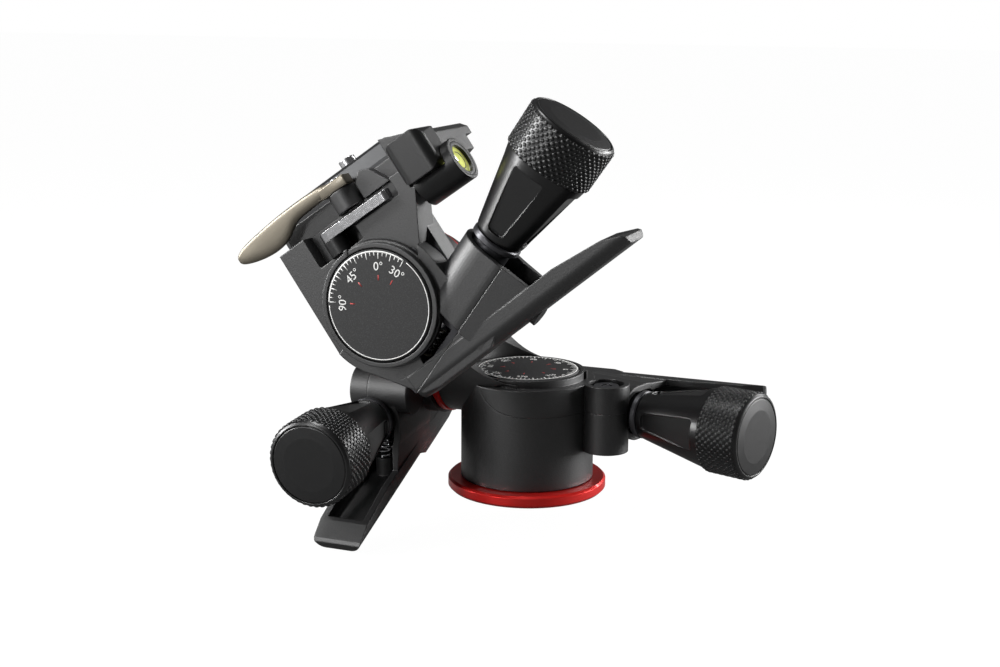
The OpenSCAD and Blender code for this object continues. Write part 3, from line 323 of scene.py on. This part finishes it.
def cast_black(name, colour, grain=1700.0, rough=0.45, depth=0.06, edge=0.6):
    """Sandblasted black paint over a casting, with painted glints in its colour."""
    f = Finish(name)
    fine = f.noise(grain, 3.0, 0.6)
    broad = f.noise(42.0, 2.0, 0.5)
    # Painted glints: a sparse mask of small specks, painted up to 3.2 times lighter into the colour, stands in for
    # light glinting off the grain.
    painted_glints = f.noise(grain * 1.5, 1.0, 0.5).spread(0.56, 0.70)
    base = f.blend(broad.spread(0.35, 0.65), tone(colour, 0.86), tone(colour, 1.2))
    base = f.blend(painted_glints * 0.6, base, tone(colour, 3.2))
    return f.set(Base_Color=base, Roughness=rough - 0.08 + fine * 0.16 + broad * 0.04, Specular_IOR_Level=0.85,
                 Normal=f.bump(fine, 0.8, depth, edge))


def moulded(name, colour, rough=0.5, grain=1900.0, depth=0.02, edge=0.35):
    """Matte moulded grip or plastic with a very fine grain."""
    f = Finish(name)
    fine = f.noise(grain, 2.0, 0.5)
    broad = f.noise(60.0)
    base = f.blend(broad.spread(0.3, 0.7), tone(colour, 0.9), tone(colour, 1.15))
    return f.set(Base_Color=base, Roughness=rough - 0.05 + fine * 0.1, Normal=f.bump(fine, 0.4, depth, edge))


def turned_metal(name, colour, metallic=1.0, rough=0.3, streak=(40.0, 900.0, 900.0), edge=0.25, coat=0.0):
    """Anodised, turned or brushed metal with fine streaks."""
    f = Finish(name)
    run = f.node("ShaderNodeMapping", {}, {"Vector": f.place, "Scale": streak})
    lines = f.noise(1.0, 3.0, 0.6, at=run)
    broad = f.noise(55.0)
    base = f.blend(broad.spread(0.3, 0.7), tone(colour, 0.88), tone(colour, 1.12))
    return f.set(Base_Color=base, Metallic=metallic, Roughness=rough - 0.06 + lines * 0.14, Coat_Weight=coat,
                 Normal=f.bump(lines, 0.25, 0.01, edge))


def dial_black(name):
    """Black scale face with a salt and pepper grain."""
    f = Finish(name)
    specks = f.noise(3600.0, 2.0, 0.7)
    mask = specks.spread(0.52, 0.72)
    base = f.blend(mask, (0.006, 0.006, 0.0063), (0.036, 0.036, 0.038))
    return f.set(Base_Color=base, Roughness=0.52 + specks * 0.12, Normal=f.bump(specks, 0.4, 0.03, 0.2))


def printed(name, colour, rough=0.5):
    """Screen-printed ink, a little uneven."""
    f = Finish(name)
    wear = f.noise(1500.0, 3.0, 0.6)
    base = f.blend(wear.spread(0.35, 0.75), tone(colour, 0.86), colour)
    return f.set(Base_Color=base, Roughness=rough + wear * 0.1, Normal=f.bump(wear, 0.2, 0.01))


def vial_fluid_with_painted_glow(name, colour):
    """Yellow-green fluid behind the clear wall of the vial, with a painted glow: the fluid emits its own colour as
    painted light.
    """
    f = Finish(name)
    depth = f.noise(180.0)
    base = f.blend(depth.spread(0.3, 0.7), tone(colour, 0.8), tone(colour, 1.15))
    # Emission paints light into the fluid: a faint glow of its own colour, though it is no lamp.
    return f.set(Base_Color=base, Roughness=0.12 + depth * 0.04, Coat_Weight=1.0, Emission_Color=base,
                 Emission_Strength=0.18, Normal=f.bump(depth, 0.1, 0.02))


# ---- Geometry helpers ----

def linked(name, data):
    """A new object of a mesh, curve, lamp or camera, in the scene."""
    obj = bpy.data.objects.new(name, data)
    bpy.context.scene.collection.objects.link(obj)
    return obj


def mesh_object(name, mesh):
    mesh.name = name
    return linked(name, mesh)


def finish_piece(obj, body, material=None, smooth=35.0):
    """Gives a piece its material and body, and smooth faces up to an angle."""
    if material:
        obj.data.materials.clear()
        obj.data.materials.append(material)
    obj.data.polygons.foreach_set("use_smooth", [True] * len(obj.data.polygons))
    if smooth:
        obj.data.set_sharp_from_angle(angle=math.radians(smooth))
    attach(obj, body)


def discard(obj):
    """Removes an object and its mesh or curve."""
    data = obj.data
    bpy.data.objects.remove(obj)
    (bpy.data.meshes if isinstance(data, bpy.types.Mesh) else bpy.data.curves).remove(data)


def baked(obj):
    """Plain mesh of an object with its modifiers or curve applied; the object goes."""
    bpy.context.view_layer.update()
    graph = bpy.context.evaluated_depsgraph_get()
    mesh = bpy.data.meshes.new_from_object(obj.evaluated_get(graph), depsgraph=graph)
    discard(obj)
    return mesh


def from_bmesh(name, bm, matrix):
    """Clean mesh object from a bmesh in millimetres, which is freed."""
    mesh = bpy.data.meshes.new(name)
    bmesh.ops.remove_doubles(bm, verts=bm.verts, dist=1e-5)
    bmesh.ops.recalc_face_normals(bm, faces=bm.faces)
    bm.to_mesh(mesh)
    bm.free()
    mesh.transform(matrix)
    return mesh_object(name, mesh)


def merge_pieces(name, pieces):
    """One object from several plain mesh objects."""
    bm = bmesh.new()
    for piece in pieces:
        bm.from_mesh(piece.data)
        discard(piece)
    mesh = bpy.data.meshes.new(name)
    bm.to_mesh(mesh)
    bm.free()
    return mesh_object(name, mesh)


class NodeTree:
    """A Geometry Nodes tree with named inputs."""

    def __init__(self, name, inputs):
        self.tree = bpy.data.node_groups.new(name, "GeometryNodeTree")
        kinds = {int: "NodeSocketInt", float: "NodeSocketFloat", bpy.types.Material: "NodeSocketMaterial"}
        self.ids = {}
        for label, kind in inputs:
            item = self.tree.interface.new_socket(label, in_out="INPUT", socket_type=kinds[kind])
            self.ids[label] = item.identifier
        self.tree.interface.new_socket("Geometry", in_out="OUTPUT", socket_type="NodeSocketGeometry")
        self.given = self.tree.nodes.new("NodeGroupInput")
        self.result = self.tree.nodes.new("NodeGroupOutput")

    def node(self, kind, settings=None, sockets=None, out=0):
        made = self.tree.nodes.new(kind)
        for key, value in (settings or {}).items():
            setattr(made, key, value)
        for key, value in (sockets or {}).items():
            if isinstance(value, bpy.types.NodeSocket):
                self.tree.links.new(value, made.inputs[key])
            else:
                made.inputs[key].default_value = value
        return made.outputs[out]

    def given_value(self, label):
        return self.given.outputs[label]

    def math(self, operation, first, second=0.0):
        return self.node("ShaderNodeMath", {"operation": operation}, {0: first, 1: second})

    def finish(self, geometry, material):
        real = self.node("GeometryNodeRealizeInstances", {}, {"Geometry": geometry})
        painted = self.node("GeometryNodeSetMaterial", {}, {"Geometry": real, "Material": material})
        self.tree.links.new(painted, self.result.inputs["Geometry"])

    def grow(self, name, values, matrix):
        """Runs the tree once and returns the result as a plain mesh object."""
        holder = mesh_object(name + "_tree", bpy.data.meshes.new(name + "_tree"))
        modifier = holder.modifiers.new("nodes", "NODES")
        modifier.node_group = self.tree
        for label, value in values.items():
            modifier[self.ids[label]] = value
        mesh = baked(holder)
        mesh.transform(matrix)
        return mesh_object(name, mesh)


def knurl_tree():
    """Studs in staggered rings round a cone that lies along x."""
    t = NodeTree("knurl_studs", (("Around", int), ("Rings", int), ("Start", float), ("Pitch", float),
                                 ("Radius", float), ("Slope", float), ("Stud", float), ("Rise", float),
                                 ("Material", bpy.types.Material)))
    g = t.given_value
    count = t.math("MULTIPLY", g("Around"), g("Rings"))
    points = t.node("GeometryNodePoints", {}, {"Count": count})
    index = t.node("GeometryNodeInputIndex")
    ring = t.math("FLOOR", t.math("DIVIDE", index, g("Around")))
    turns = t.math("DIVIDE", t.math("ADD", index, t.math("MULTIPLY", ring, 0.5)), g("Around"))
    angle = t.math("MULTIPLY", turns, 2 * math.pi)
    along = t.math("ADD", g("Start"), t.math("MULTIPLY", ring, g("Pitch")))
    radius = t.math("ADD", g("Radius"), t.math("MULTIPLY", along, g("Slope")))
    at = t.node("ShaderNodeCombineXYZ", {}, {0: along, 1: t.math("MULTIPLY", radius, t.math("COSINE", angle)),
                                             2: t.math("MULTIPLY", radius, t.math("SINE", angle))})
    moved = t.node("GeometryNodeSetPosition", {}, {"Geometry": points, "Position": at})
    stud = t.node("GeometryNodeMeshIcoSphere", {}, {"Radius": 1.0, "Subdivisions": 2})
    turned = t.node("ShaderNodeCombineXYZ", {}, {0: angle, 1: 0.0, 2: 0.0})
    size = t.node("ShaderNodeCombineXYZ", {}, {0: t.math("MULTIPLY", g("Stud"), 0.78), 1: g("Rise"), 2: g("Stud")})
    dots = t.node("GeometryNodeInstanceOnPoints", {}, {"Points": moved, "Instance": stud,
                                                       "Rotation": turned, "Scale": size})
    smooth = t.node("GeometryNodeSetShadeSmooth", {}, {"Geometry": dots})
    t.finish(smooth, g("Material"))
    return t


def tick_tree():
    """Radial ticks on a scale, with a long one every few steps."""
    t = NodeTree("scale_ticks", (("Count", int), ("Every", int), ("Start", float), ("Step", float),
                                 ("Radius", float), ("Short", float), ("Long", float), ("Width", float),
                                 ("Height", float), ("Material", bpy.types.Material)))
    g = t.given_value
    points = t.node("GeometryNodePoints", {}, {"Count": g("Count")})
    index = t.node("GeometryNodeInputIndex")
    angle = t.math("ADD", g("Start"), t.math("MULTIPLY", index, g("Step")))
    rest = t.math("MODULO", index, g("Every"))
    is_long = t.math("LESS_THAN", rest, 0.5)
    length = t.math("ADD", g("Short"), t.math("MULTIPLY", is_long, t.math("SUBTRACT", g("Long"), g("Short"))))
    middle = t.math("SUBTRACT", g("Radius"), t.math("MULTIPLY", length, 0.5))
    at = t.node("ShaderNodeCombineXYZ", {}, {0: t.math("MULTIPLY", middle, t.math("COSINE", angle)),
                                             1: t.math("MULTIPLY", middle, t.math("SINE", angle)), 2: 0.0})
    moved = t.node("GeometryNodeSetPosition", {}, {"Geometry": points, "Position": at})
    bar = t.node("GeometryNodeMeshCube", {}, {"Size": (1.0, 1.0, 1.0)})
    turned = t.node("ShaderNodeCombineXYZ", {}, {0: 0.0, 1: 0.0, 2: angle})
    size = t.node("ShaderNodeCombineXYZ", {}, {0: length, 1: g("Width"), 2: g("Height")})
    bars = t.node("GeometryNodeInstanceOnPoints", {}, {"Points": moved, "Instance": bar,
                                                       "Rotation": turned, "Scale": size})
    t.finish(bars, g("Material"))
    return t


def arc_band(name, inner, outer, start_deg, end_deg, low, high, matrix):
    """Flat closed band along an arc, or round the whole circle."""
    whole = end_deg - start_deg >= 359.9
    steps = max(8, int((end_deg - start_deg) / 2.5))
    bm = bmesh.new()
    sections = []
    for i in range(steps if whole else steps + 1):
        a = math.radians(start_deg + (end_deg - start_deg) * i / steps)
        c, s = math.cos(a), math.sin(a)
        sections.append([bm.verts.new((r * c, r * s, z)) for r, z in
                         ((inner, low), (outer, low), (outer, high), (inner, high))])
    pairs = list(zip(sections, sections[1:] + sections[:1])) if whole else list(zip(sections, sections[1:]))
    for a, b in pairs:
        for j in range(4):
            bm.faces.new((a[j], a[(j + 1) % 4], b[(j + 1) % 4], b[j]))
    if not whole:
        bm.faces.new(sections[0])
        bm.faces.new(sections[-1])
    return from_bmesh(name, bm, matrix)


def figure(name, text, size, at_deg, radius, matrix, outward=True):
    """A number on a scale, with its head turned outwards or inwards."""
    curve = bpy.data.curves.new(name, "FONT")
    curve.body = text
    curve.size = size
    curve.align_x = "CENTER"
    curve.align_y = "CENTER"
    curve.extrude = PRINT_DEPTH
    curve.resolution_u = 4
    mesh = baked(linked(name, curve))
    a = math.radians(at_deg)
    lean = a - math.pi / 2 if outward else a + math.pi / 2
    spot = Matrix.Translation((radius * math.cos(a), radius * math.sin(a), 0)) @ Matrix.Rotation(lean, 4, "Z")
    mesh.transform(matrix @ spot)
    return mesh_object(name, mesh)


def loft(name, sections, matrix, levels=2):
    """Closed skin over rings of points, with its two ends capped, then subdivided."""
    bm = bmesh.new()
    rings = [[bm.verts.new(p) for p in ring] for ring in sections]
    n = len(rings[0])
    for a, b in zip(rings, rings[1:]):
        for j in range(n):
            bm.faces.new((a[j], a[(j + 1) % n], b[(j + 1) % n], b[j]))
    bm.faces.new(rings[0])
    bm.faces.new(rings[-1])
    cage = from_bmesh(name, bm, Matrix.Identity(4))
    skin = cage.modifiers.new("skin", "SUBSURF")
    skin.levels = skin.render_levels = levels
    mesh = baked(cage)
    mesh.transform(matrix)
    return mesh_object(name, mesh)


def bevelled_block(name, corners_low, corners_high, radius, matrix):
    """Block between two corners with rounded edges."""
    bm = bmesh.new()
    bmesh.ops.create_cube(bm, size=1.0)
    low, high = Vector(corners_low), Vector(corners_high)
    for v in bm.verts:
        v.co = Vector([(low[i] + high[i]) / 2 + v.co[i] * (high[i] - low[i]) for i in range(3)])
    bmesh.ops.bevel(bm, geom=bm.edges[:], offset=radius, segments=3, profile=0.5, affect="EDGES")
    return from_bmesh(name, bm, matrix)


def disc(name, centre, radius, low, high, matrix, steps=40):
    """Closed round disc between two heights along y."""
    bm = bmesh.new()
    x, z = centre
    turns = [2 * math.pi * i / steps for i in range(steps)]
    foot = [bm.verts.new((x + radius * math.cos(a), low, z + radius * math.sin(a))) for a in turns]
    head = [bm.verts.new((v.co.x, high, v.co.z)) for v in foot]
    for i in range(steps):
        bm.faces.new((foot[i], foot[(i + 1) % steps], head[(i + 1) % steps], head[i]))
    bm.faces.new(foot)
    bm.faces.new(head)
    return from_bmesh(name, bm, matrix)


# ---- Operators ----

FINISHES = {}
FLOOR_HALF = 6.0
FLOOR_WHITE, FLOOR_WHITE_SHARE = 1.2, 0.82
PAPER_DARK, PAPER_LIGHT = (0.15, 0.15, 0.15), (0.17, 0.17, 0.17)


class HEAD_OT_finishes(bpy.types.Operator):
    """Make every finish and put it on the CAD nodes"""
    bl_idname = "head.finishes"
    bl_label = "Finishes"

    def execute(self, context):
        c = context.scene.head_colours
        grip = tuple(c.grip)
        FINISHES.update({
            "black_casting": cast_black("black_casting", tuple(c.casting)),
            "black_knob": moulded("black_knob", grip, rough=0.31, edge=0.6),
            "knob_disc": moulded("knob_disc", tone(grip, 1.1), rough=0.34, grain=900.0, depth=0.01),
            "dial_face": dial_black("dial_face"),
            "black_plastic": moulded("black_plastic", tone(grip, 0.9), rough=0.4, grain=2300.0, depth=0.05, edge=0.5),
            "rubber": moulded("rubber", (0.016, 0.016, 0.017), rough=0.95, grain=1400.0, depth=0.05),
            "red_anodised": turned_metal("red_anodised", tuple(c.ring), metallic=0.55, rough=0.34,
                                         streak=(300.0, 300.0, 2400.0), coat=0.3),
            "steel": turned_metal("steel", (0.60, 0.60, 0.61), rough=0.26),
            "bright_steel": turned_metal("bright_steel", (0.46, 0.46, 0.47), rough=0.2, streak=(500.0, 60.0, 500.0)),
            "dark_steel": turned_metal("dark_steel", (0.055, 0.055, 0.06), metallic=0.6, rough=0.34),
            "brass": turned_metal("brass", (0.70, 0.52, 0.24), rough=0.34),
            "bearing": moulded("bearing", (0.62, 0.57, 0.46), rough=0.5),
            "lever_bronze": turned_metal("lever_bronze", tuple(c.lever), metallic=0.8, rough=0.4,
                                         streak=(120.0, 900.0, 900.0), coat=0.1),
            "plate_grey": turned_metal("plate_grey", tuple(c.plate), metallic=0.4, rough=0.6,
                                       streak=(90.0, 1400.0, 1400.0)),
            "vial_glass": vial_fluid_with_painted_glow("vial_glass", tuple(c.fluid)),
            "white_print": printed("white_print", (0.84, 0.84, 0.82)),
            "red_print": printed("red_print", (0.42, 0.035, 0.03)),
        })
        slots = {s["node"]: s["material_slot"] for s in frame["record"]["subparts"]}
        other = {"safety_lever": "bright_steel", "screw_ring": "bright_steel"}
        for node, obj in frame["nodes"].items():
            name = other.get(node, slots[node])
            obj.data.materials.clear()
            obj.data.materials.append(FINISHES[name])
        return {"FINISHED"}


class HEAD_OT_knurls(bpy.types.Operator):
    """Cover the wide band of each knob with rings of small studs"""
    bl_idname = "head.knurls"
    bl_label = "Knurls"

    def execute(self, context):
        k = context.scene.head_knurl
        tree = knurl_tree()
        values = {"Around": k.around, "Rings": k.rings, "Start": KNURL_FROM,
                  "Pitch": (KNURL_TO - KNURL_FROM) / (k.rings - 1), "Radius": KNURL_RADIUS, "Slope": KNURL_SLOPE,
                  "Stud": k.stud / MM, "Rise": k.rise / MM, "Material": FINISHES["black_knob"]}
        for unit in UNITS:
            studs = tree.grow(f"{unit}_knurl", values, knob_seat(unit))
            finish_piece(studs, f"{unit}_control", smooth=0)
        return {"FINISHED"}


class HEAD_OT_scales(bpy.types.Operator):
    """Print the ticks, arcs and numbers on the three dials"""
    bl_idname = "head.scales"
    bl_label = "Dial scales"

    def execute(self, context):
        s = context.scene.head_scale
        white, red = FINISHES["white_print"], FINISHES["red_print"]
        radius = s.radius / MM
        tree = tick_tree()
        bodies = {"pan": "root", "tilt": "pan_head", "roll": "tilt_head"}
        for unit in UNITS:
            whole = unit == "pan"
            zero_deg = PAN_ZERO_DEG if whole else 90.0
            first_deg, last_deg = (0.0, 355.0) if whole else (-30.0, 90.0)
            step_deg = math.degrees(s.step)
            count = int(round((last_deg - first_deg) / step_deg)) + 1
            place = dial_seat(unit)
            values = {"Count": count, "Every": s.every, "Start": math.radians(zero_deg + first_deg),
                      "Step": s.step, "Radius": radius, "Short": TICK_SHORT, "Long": TICK_LONG,
                      "Width": TICK_WIDTH, "Height": 2 * PRINT_DEPTH, "Material": white}
            marks = [tree.grow(f"{unit}_ticks", values, place)]
            if whole:
                marks.append(arc_band(f"{unit}_circle", radius, radius + PAN_CIRCLE_WIDTH, 0, 360,
                                      -PRINT_DEPTH, PRINT_DEPTH, place))
                figures = [(str(a), a) for a in range(0, 360, 45)]
            else:
                start, end = zero_deg + first_deg, zero_deg + last_deg
                marks.append(arc_band(f"{unit}_arc", radius - ARC_INSIDE, radius + ARC_OUTSIDE,
                                      start - ARC_OVERRUN_DEG, end + ARC_OVERRUN_DEG,
                                      -PRINT_DEPTH, PRINT_DEPTH, place))
                marks.append(arc_band(f"{unit}_circle", radius, radius + CIRCLE_WIDTH,
                                      end + CIRCLE_GAP_DEG, start + 360 - CIRCLE_GAP_DEG,
                                      -PRINT_DEPTH, PRINT_DEPTH, place))
                figures = [("90°", 90), ("45°", 45), ("0°", 0), ("30°", -30)]
            size, inset = (0.9, 4.0) if whole else (1.32, 5.0)
            for text, at in figures:
                marks.append(figure(f"{unit}_{at}", text, s.figure / MM * size, zero_deg + at, radius - inset,
                                    place, outward=not whole))
            scale = merge_pieces(f"{unit}_scale", marks)
            finish_piece(scale, bodies[unit], white, smooth=0)
            dashes = [arc_band(f"{unit}_dash_{at}", radius - DASH_FROM, radius - DASH_TO,
                               zero_deg + at - DASH_HALF_DEG, zero_deg + at + DASH_HALF_DEG,
                               -PRINT_DEPTH, DASH_TOP, place) for _, at in figures]
            red_marks = merge_pieces(f"{unit}_red_marks", dashes)
            finish_piece(red_marks, bodies[unit], red, smooth=0)
        return {"FINISHED"}


class HEAD_OT_springs(bpy.types.Operator):
    """Wind the three release springs as round wire"""
    bl_idname = "head.springs"
    bl_label = "Release springs"

    def execute(self, context):
        s = context.scene.head_spring
        radius, wire, length = s.radius / MM, s.wire / MM, s.length / MM
        steps = s.curls * 20
        for unit in UNITS:
            hand = -1 if unit == "pan" else 1
            top = along_knob(unit, SPRING_TOP)
            down = along_knob(unit, Vector(SPRING_TOP) + Vector((0, -1, 0))) - top
            side = along_knob(unit, Vector(SPRING_TOP) + Vector((1, 0, 0))) - top
            points = [(radius, 0, 0)]
            for i in range(steps + 1):
                a = hand * 2 * math.pi * s.curls * i / steps
                points.append((radius * math.cos(a), radius * math.sin(a),
                               wire + (length - 2 * wire) * i / steps))
            points.append((radius, 0, length))
            curve = bpy.data.curves.new(f"{unit}_wire", "CURVE")
            curve.dimensions = "3D"
            curve.bevel_depth = wire / 2
            curve.bevel_resolution = 2
            curve.use_fill_caps = True
            run = curve.splines.new("POLY")
            run.points.add(len(points) - 1)
            for point, co in zip(run.points, points):
                point.co = (*co, 1)
            mesh = baked(linked(f"{unit}_wire", curve))
            mesh.transform(seat(top, side, down))
            spring = mesh_object(f"{unit}_release_spring", mesh)
            finish_piece(spring, f"{unit}_head", FINISHES["steel"], smooth=60)
            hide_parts(f"{unit}_spring")
            down.normalize()
            foot = (top + down * length) * MM
            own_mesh(spring)
        return {"FINISHED"}


class HEAD_OT_clamp_lever(bpy.types.Operator):
    """Loft the swept clamp lever and add its pad block and cam"""
    bl_idname = "head.clamp_lever"
    bl_label = "Clamp lever"

    def execute(self, context):
        place = roll_seat()
        # Place along the lever, low and high over the plate seat, back and front of each section
        stations = ((4.5, 0.5, 4.4, 1.3, 5.1), (0.0, 0.5, 5.5, 1.3, 5.0), (-8.0, 0.4, 5.8, 1.3, 4.9),
                    (-13.5, 0.2, 5.8, 1.3, 4.9), (-16.5, -1.2, 5.7, 1.4, 5.0), (-20.4, -3.9, 5.6, 1.6, 5.1),
                    (-26.0, -4.8, 5.1, 2.0, 5.3), (-32.0, -4.3, 4.6, 2.3, 5.5), (-37.5, -2.9, 3.8, 3.0, 5.9),
                    (-41.4, -1.2, 2.0, 4.6, 6.1))
        sections = []
        for p, low, high, back, front in stations:
            cut = min(1.0, (high - low) * 0.28, (front - back) * 0.4)
            low, high = SEAT_H + low, SEAT_H + high
            sections.append([(p, low + cut, back), (p, high - cut, back), (p, high, back + cut),
                             (p, high, front - cut), (p, high - cut, front), (p, low + cut, front),
                             (p, low, front - cut), (p, low, back + cut)])
        grip = loft("clamp_grip", sections, place)
        block = bevelled_block("clamp_block", (-0.5, PAD_LOW, -0.4), (11.0, PAD_HIGH, 5.6), 0.5, place)
        cam = disc("clamp_cam", CAM_AT, CAM_RADIUS, PAD_LOW, PAD_HIGH, place)
        lever = merge_pieces("clamp_lever_grip", [grip, block, cam])
        finish_piece(lever, "clamp", FINISHES["lever_bronze"], smooth=30)
        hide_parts("clamp_lever")
        return {"FINISHED"}


class HEAD_OT_vial(bpy.types.Operator):
    """Add the dark rim, the reading ring and the bubble of the level vial"""
    bl_idname = "head.vial"
    bl_label = "Level vial"

    def execute(self, context):
        mouth = roll_seat() @ Matrix.Translation(VIAL_MOUTH) @ Matrix.Rotation(math.pi / 2, 4, "Y")
        bands = [arc_band(name, inner, outer, 0, 360, low, high, mouth)
                 for name, (inner, outer, low, high) in (("vial_rim", VIAL_RIM), ("vial_ring", VIAL_RING))]
        lines = merge_pieces("vial_lines", bands)
        finish_piece(lines, "roll_head", FINISHES["black_plastic"], smooth=30)
        bm = bmesh.new()
        bmesh.ops.create_uvsphere(bm, u_segments=28, v_segments=14, radius=1.0)
        for v in bm.verts:
            v.co = Vector((v.co.x * BUBBLE_RADIUS, v.co.y * BUBBLE_RADIUS, v.co.z * BUBBLE_HALF_H - BUBBLE_DEPTH))
        bubble = from_bmesh("vial_bubble", bm, mouth @ Matrix.Translation(BUBBLE_AT))
        # The bubble takes the vial's finish, so it glows with the same painted light.
        finish_piece(bubble, "roll_head", FINISHES["vial_glass"], smooth=0)
        return {"FINISHED"}


class HEAD_OT_stage(bpy.types.Operator):
    """Set up the floor, the sky, the lamps and the camera"""
    bl_idname = "head.stage"
    bl_label = "Stage"

    def execute(self, context):
        v = context.scene.head_view
        scene = context.scene
        floor_mesh = bpy.data.meshes.new("floor")
        bm = bmesh.new()
        bmesh.ops.create_grid(bm, x_segments=1, y_segments=1, size=FLOOR_HALF)
        bm.to_mesh(floor_mesh)
        bm.free()
        floor_mesh.transform(Matrix.Translation((0, 0, v.floor)))
        floor = mesh_object("floor", floor_mesh)
        f = Finish("floor_paper")
        grain = f.noise(300.0)
        f.set(Base_Color=f.blend(grain, PAPER_DARK, PAPER_LIGHT), Roughness=0.9)
        self.whiten(f)
        floor.data.materials.append(f.material)
        self.sky(scene, v.sky)
        # name, place, width and height, power
        lamps = (("key_left", (-0.80, -0.34, 0.30), (0.16, 0.44), v.key),
                 ("front_left", (-0.36, -0.84, 0.36), (0.10, 0.50), v.key * 0.42),
                 ("top", (-0.20, -0.10, 0.90), (0.26, 0.20), v.key * 0.60),
                 ("right", (0.82, 0.46, 0.12), (0.34, 0.24), v.key * 0.90),
                 ("back", (0.45, 0.70, 0.42), (0.18, 0.40), v.key * 0.40))
        middle = Vector((0.0, -0.02, 0.06))
        for name, at, size, power in lamps:
            lamp = bpy.data.lights.new(name, "AREA")
            lamp.shape = "RECTANGLE"
            lamp.size, lamp.size_y = size
            lamp.energy = power
            obj = linked(name, lamp)
            obj.location = at
            obj.rotation_euler = (middle - Vector(at)).to_track_quat("-Z", "Y").to_euler()
        self.camera(scene, v)
        scene.view_settings.view_transform = "Standard"
        return {"FINISHED"}

    @staticmethod
    def whiten(f):
        """White to the camera with a faint shadow, dark paper to every other ray."""
        glow = f.node("ShaderNodeEmission", {}, {"Color": WHITE, "Strength": FLOOR_WHITE})
        f.show(f.node("ShaderNodeMixShader", {}, {0: f.ray("Is Camera Ray") * FLOOR_WHITE_SHARE, 1: f.body, 2: glow}))

    @staticmethod
    def sky(scene, strength):
        """White to the camera and through clear pieces, a weak even light to the rest."""
        scene.world = scene.world or bpy.data.worlds.new("studio")
        scene.world.use_nodes = True
        w = Shading(scene.world.node_tree, "ShaderNodeOutputWorld")
        seen = w.node("ShaderNodeMath", {"operation": "MAXIMUM"},
                      {0: w.ray("Is Camera Ray"), 1: w.ray("Is Transmission Ray")})
        plain = w.node("ShaderNodeBackground", {}, {"Strength": strength})
        white = w.node("ShaderNodeBackground", {}, {"Color": WHITE})
        w.show(w.node("ShaderNodeMixShader", {}, {0: seen, 1: plain, 2: white}))

    @staticmethod
    def camera(scene, v):
        """The camera that was fitted to the photograph."""
        a, e, r = v.azimuth, v.elevation, v.roll
        back = Vector((math.sin(a) * math.cos(e), -math.cos(a) * math.cos(e), math.sin(e)))
        level = Vector((math.cos(a), math.sin(a), 0))
        upright = back.cross(level)
        right = math.cos(r) * level + math.sin(r) * upright
        up = math.cos(r) * upright - math.sin(r) * level
        data = bpy.data.cameras.new("camera")
        data.lens = v.lens
        data.sensor_width = 36.0
        data.clip_start, data.clip_end = 0.01, 50.0
        obj = linked("camera", data)
        turned = Matrix((right, up, back)).transposed().to_4x4()
        obj.matrix_world = Matrix.Translation(v.place) @ turned
        scene.camera = obj


OPERATORS = (HEAD_OT_finishes, HEAD_OT_knurls, HEAD_OT_scales, HEAD_OT_springs, HEAD_OT_clamp_lever,
             HEAD_OT_vial, HEAD_OT_stage)


class HEAD_PT_panel(bpy.types.Panel):
    """Lists the steps and sizes of the geared head"""
    bl_idname = "HEAD_PT_panel"
    bl_label = "Geared Head"
    bl_space_type = "VIEW_3D"
    bl_region_type = "UI"
    bl_category = "Geared Head"

    def draw(self, context):
        for operator in OPERATORS:
            self.layout.operator(operator.bl_idname)
        for name, group in GROUPS:
            box = self.layout.box()
            settings = getattr(context.scene, name)
            for key in group.__annotations__:
                box.prop(settings, key)


def register():
    for name, group in GROUPS:
        bpy.utils.register_class(group)
        setattr(bpy.types.Scene, name, PointerProperty(type=group))
    for cls in (*OPERATORS, HEAD_PT_panel):
        bpy.utils.register_class(cls)


def unregister():
    for cls in (HEAD_PT_panel, *reversed(OPERATORS)):
        bpy.utils.unregister_class(cls)
    for name, group in reversed(GROUPS):
        delattr(bpy.types.Scene, name)
        bpy.utils.unregister_class(group)


def main():
    register()
    bpy.ops.head.finishes()
    bpy.ops.head.knurls()
    bpy.ops.head.scales()
    bpy.ops.head.springs()
    bpy.ops.head.clamp_lever()
    bpy.ops.head.vial()
    bpy.ops.head.stage()


if __name__ == "__main__":
    main()
